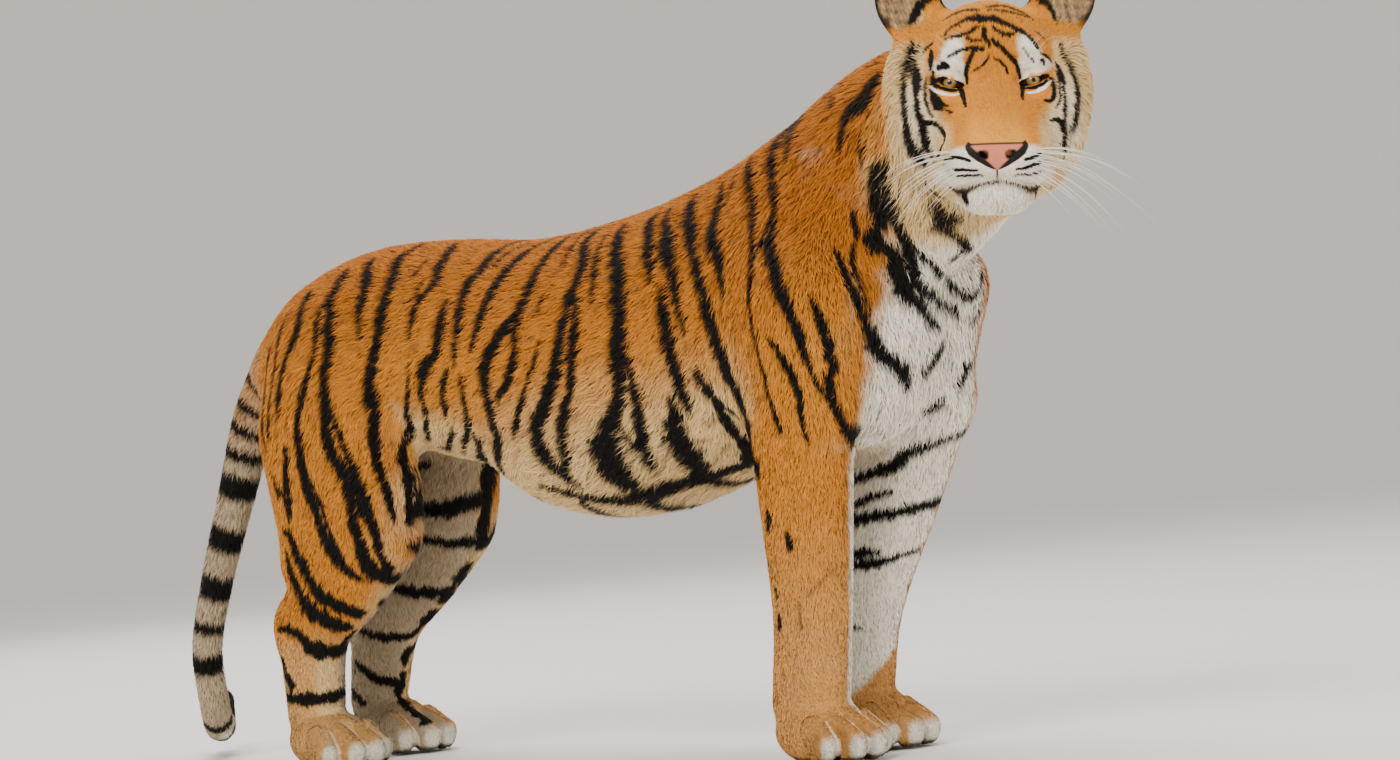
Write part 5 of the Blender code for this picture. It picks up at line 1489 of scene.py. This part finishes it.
def eye_mesh(s):
    """An eyeball with the clear bulge in front, painted with its iris and pupil."""
    bm = bmesh.new()
    bmesh.ops.create_uvsphere(bm, u_segments=120, v_segments=90, radius=1)
    mesh = bpy.data.meshes.new("eye")
    bm.to_mesh(mesh)
    bm.free()
    ways = in_stations(mesh)
    ahead = ways[:, 2]
    off = np.sqrt(np.clip(1 - ahead**2, 0, 1))
    bulge = CORNEA_AHEAD * ahead + np.sqrt(np.maximum(CORNEA_RADIUS**2 - (CORNEA_AHEAD * off) ** 2, 0))
    bulge[(ahead < 0) | (CORNEA_AHEAD * off > CORNEA_RADIUS)] = 0
    size = np.maximum(EYE_RADIUS, bulge)
    round_axis = np.arctan2(ways[:, 1], ways[:, 0])
    ring = off * size * np.where(ahead > 0, 1, 9)
    streaks = np.sin(round_axis * 37 + 2.1 * np.sin(round_axis * 5)) * np.sin(round_axis * 23 + 1)
    colour = mixed(AMBER * np.ones((len(ring), 1)), OLIVE, smooth(PUPIL_RADIUS, IRIS_RADIUS, ring))
    colour = colour * (1 + 0.25 * streaks)[:, None]
    colour = mixed(colour, IRIS_EDGE, smooth(IRIS_RADIUS * 0.84, IRIS_RADIUS, ring))
    colour = mixed(colour, BLACK, smooth(PUPIL_RADIUS * 1.08, PUPIL_RADIUS * 0.92, ring))
    turn = turned(**HEAD_TURN) @ turned(yaw=s * GAZE_OUT, pitch=GAZE_UP) @ turned(pitch=-90)
    middle = EYES_MIDDLE + turned(**HEAD_TURN) @ (np.array(EYE_PLACE) * (1, s, 1))
    places = middle + (ways * size[:, None]) @ turn.T - BOX_CENTRE
    mesh.vertices.foreach_set("co", places.ravel())
    mesh.update()
    add_colours(mesh, colour)
    return mesh


def eye_material():
    """Wet, clear and dark-rimmed, with fine fibres in the iris."""
    nodes = Nodes("eye")
    paint = nodes.add("ShaderNodeAttribute", attribute_name="fur")
    shade = nodes.ranged(nodes.noise(1800.0), 0.75, 1.25)
    tint = nodes.add("ShaderNodeHueSaturation", {"Color": paint.outputs["Color"], "Value": shade})
    nodes.drive("Base Color", tint.outputs["Color"])
    nodes.drive("Roughness", nodes.ranged(nodes.noise(300.0), 0.03, 0.07))
    nodes.shader.inputs["Coat Weight"].default_value = 0.25
    nodes.shader.inputs["Specular IOR Level"].default_value = 0.35
    nodes.shader.inputs["Coat Roughness"].default_value = 0.02
    return nodes.material


def hair_mesh(name, strands, sides=4):
    """Tapered, curved hairs: each strand is its points and its radius at the root."""
    corners, faces, shades = [], [], []
    for points, radius in strands:
        first = len(corners)
        count = len(points)
        for i, point in enumerate(points):
            along = points[min(i + 1, count - 1)] - points[max(i - 1, 0)]
            along /= np.linalg.norm(along)
            across = np.cross(along, (0.1, 0.2, 1.0))
            across /= np.linalg.norm(across)
            other = np.cross(along, across)
            size = radius * (1 - 0.86 * (i / (count - 1)) ** 1.4)
            for k in range(sides):
                a = 2 * pi * k / sides
                corners.append(point + size * (cos(a) * across + sin(a) * other))
                shades.append(np.array((0.80, 0.77, 0.72)) * (0.75 + 0.25 * min(1, i / 3)))
        for i in range(count - 1):
            for k in range(sides):
                a, b = first + i * sides + k, first + i * sides + (k + 1) % sides
                faces.append((a, b, b + sides, a + sides))
        faces.append(tuple(first + (count - 1) * sides + k for k in range(sides)))
        faces.append(tuple(first + k for k in reversed(range(sides))))
    mesh = bpy.data.meshes.new(name)
    mesh.from_pydata([tuple(c - BOX_CENTRE) for c in corners], [], faces)
    add_colours(mesh, np.array(shades))
    return mesh


def strand(root, way, droop, length, steps=14):
    """A hair from a place in the head's frame, bending towards droop along its length."""
    points = [np.array(root, float)]
    way, droop = np.array(way, float), np.array(droop, float)
    for t in np.linspace(0, 1, steps):
        step = way + droop * t
        points.append(points[-1] + step / np.linalg.norm(step) * length / steps)
    return EYES_MIDDLE + np.array(points) @ turned(**HEAD_TURN).T


def on_face(left, up):
    """Place on the face, in the head's frame, seen from in front."""
    axes = turned(**HEAD_TURN)
    start = EYES_MIDDLE + np.array([[0.16, left, up]]) @ axes.T
    return to_head(marched(start, -axes[None, :, 0], 0.30))[0]


WHISKER_ROWS = ((-0.106, 5), (-0.114, 6), (-0.122, 6), (-0.130, 5))
WHISKER_RADIUS = 0.00070
BROW_HAIR_RADIUS = 0.0003
UNDER_SKIN = (0.003, 0, 0)


def whiskers():
    """Four rows of whiskers on each side of the muzzle, swept further back on the right, and brow hairs."""
    rng = np.random.default_rng(SEED + 3)
    strands = []
    for s in (-1, 1):
        for row, (up, count) in enumerate(WHISKER_ROWS):
            for k in range(count):
                root = on_face(s * (0.028 + 0.0072 * k + 0.002 * row), up + 0.002 * k)
                length = (0.085 + 0.015 * k) * rng.uniform(0.85, 1.15) * (1.12 if s > 0 else 0.98)
                back = 0.10 if s > 0 else 0.42
                ahead = -back - 0.07 * k + rng.normal(0, 0.05)
                way = (ahead, s * 1.0, 0.14 - 0.19 * row + rng.normal(0, 0.07))
                points = strand(root - UNDER_SKIN, way, (-0.55 - back, 0, -0.75), length)
                strands.append((points, WHISKER_RADIUS))
        for left, up in ((0.045, 0.030), (0.052, 0.034), (0.060, 0.031)):
            root = on_face(s * left, up)
            way = (0.6, s * 0.35, 0.9)
            length = 0.05 * rng.uniform(0.8, 1.2)
            points = strand(root - UNDER_SKIN, way, (0.1, s * 0.4, -0.5), length)
            strands.append((points, BROW_HAIR_RADIUS))
    return hair_mesh("whiskers", strands)


def whisker_material():
    """Pale, smooth and a little glossy."""
    nodes = Nodes("whisker")
    paint = nodes.add("ShaderNodeAttribute", attribute_name="fur")
    shade = nodes.ranged(nodes.noise(200.0), 0.9, 1.05)
    tint = nodes.add("ShaderNodeHueSaturation", {"Color": paint.outputs["Color"], "Value": shade})
    nodes.drive("Base Color", tint.outputs["Color"])
    nodes.drive("Roughness", nodes.ranged(nodes.noise(500.0), 0.3, 0.45))
    return nodes.material


# ---------------------------------------------------------------- stage, lights and camera

CAMERA_PLACE = (6.10227, -5.74772, 0.62)
CAMERA_HEADING = 135.358
CAMERA_PITCH = -0.469
CAMERA_ROLL = 5.0
CAMERA_LENS = 144.0
FLOOR_RADIUS = 11.0
WALL_CURVE = 4.0
WALL_HEIGHT = 9.0


def studio():
    """A pale floor that sweeps up into a wall all round."""
    profile = [(0.0, 0.0), (2.0, 0.0), (5.0, 0.0), (FLOOR_RADIUS - WALL_CURVE / 2, 0.0)]
    for k in range(1, 13):
        a = pi / 2 * k / 12
        profile.append((FLOOR_RADIUS - WALL_CURVE / 2 + WALL_CURVE * sin(a), WALL_CURVE * (1 - cos(a))))
    profile.append((profile[-1][0], WALL_HEIGHT))
    bm = bmesh.new()
    line = [bm.verts.new((r, 0, z)) for r, z in profile]
    edges = [bm.edges.new(pair) for pair in zip(line, line[1:])]
    bmesh.ops.spin(bm, geom=line + edges, axis=(0, 0, 1), cent=(0, 0, 0), angle=2 * pi, steps=96)
    bmesh.ops.remove_doubles(bm, verts=bm.verts, dist=1e-4)
    bmesh.ops.recalc_face_normals(bm, faces=bm.faces)
    mesh = bpy.data.meshes.new("studio_floor")
    bm.to_mesh(mesh)
    bm.free()
    nodes = Nodes("studio_floor")
    shade = nodes.ranged(nodes.noise(3.0), 0.97, 1.0)
    tone = nodes.add("ShaderNodeHueSaturation", {"Color": (0.84, 0.82, 0.79, 1), "Value": shade})
    nodes.drive("Base Color", tone.outputs["Color"])
    nodes.shader.inputs["Roughness"].default_value = 0.9
    mesh.materials.append(nodes.material)
    mesh.polygons.foreach_set("use_smooth", np.ones(len(mesh.polygons), bool))
    floor = bpy.data.objects.new("studio_floor", mesh)
    bpy.context.collection.objects.link(floor)


def lamp(name, place, size, watts, tone, target=(0.0, 0.0, 0.6)):
    """A round area light turned towards its target and hidden from the camera."""
    light = bpy.data.lights.new(name, "AREA")
    light.shape = "DISK"
    light.size = size
    light.energy = watts
    light.color = tone
    obj = bpy.data.objects.new(name, light)
    obj.location = place
    way = Vector(target) - Vector(place)
    obj.rotation_euler = way.to_track_quat("-Z", "Y").to_euler()
    obj.visible_camera = False
    bpy.context.collection.objects.link(obj)


def lights():
    """Soft light from the camera's side, from above and from behind, with a pale sky."""
    lamp("key_light", (2.6, -5.2, 4.6), 3.4, 430, (1.0, 0.96, 0.89))
    lamp("fill_light", (6.2, 1.2, 2.6), 3.2, 130, (1.0, 0.98, 0.94))
    lamp("top_light", (-1.0, 1.0, 5.6), 4.0, 220, (1.0, 0.99, 0.96))
    lamp("back_light", (-4.5, 2.5, 3.0), 3.0, 90, (0.95, 0.97, 1.0))
    world = bpy.data.worlds.new("studio")
    world.use_nodes = True
    world.node_tree.nodes["Background"].inputs["Color"].default_value = (1.0, 0.985, 0.96, 1)
    world.node_tree.nodes["Background"].inputs["Strength"].default_value = 0.68
    bpy.context.scene.world = world


def camera():
    """The photo's view: low, level with the body and rolled to match the sloping ground."""
    heading, pitch, roll = radians(CAMERA_HEADING), radians(CAMERA_PITCH), radians(CAMERA_ROLL)
    ahead = Vector((cos(heading) * cos(pitch), sin(heading) * cos(pitch), sin(pitch)))
    right = ahead.cross(Vector((0, 0, 1))).normalized()
    up = right.cross(ahead)
    across = cos(roll) * right - sin(roll) * up
    above = sin(roll) * right + cos(roll) * up
    data = bpy.data.cameras.new("camera")
    data.lens = CAMERA_LENS
    data.sensor_width = 36.0
    data.clip_end = 60.0
    obj = bpy.data.objects.new("camera", data)
    turn = Matrix((across, above, -ahead)).transposed().to_4x4()
    obj.matrix_world = Matrix.Translation(CAMERA_PLACE) @ turn
    bpy.context.collection.objects.link(obj)
    bpy.context.scene.camera = obj


coat(*body_skin())
for side, s in (("left", 1), ("right", -1)):
    add_object(f"eyeball_{side}", eye_mesh(s), eye_material(), "eyes", f"eye_{side}")
add_object("whiskers", whiskers(), whisker_material(), "pale_coat")
studio()
lights()
camera()
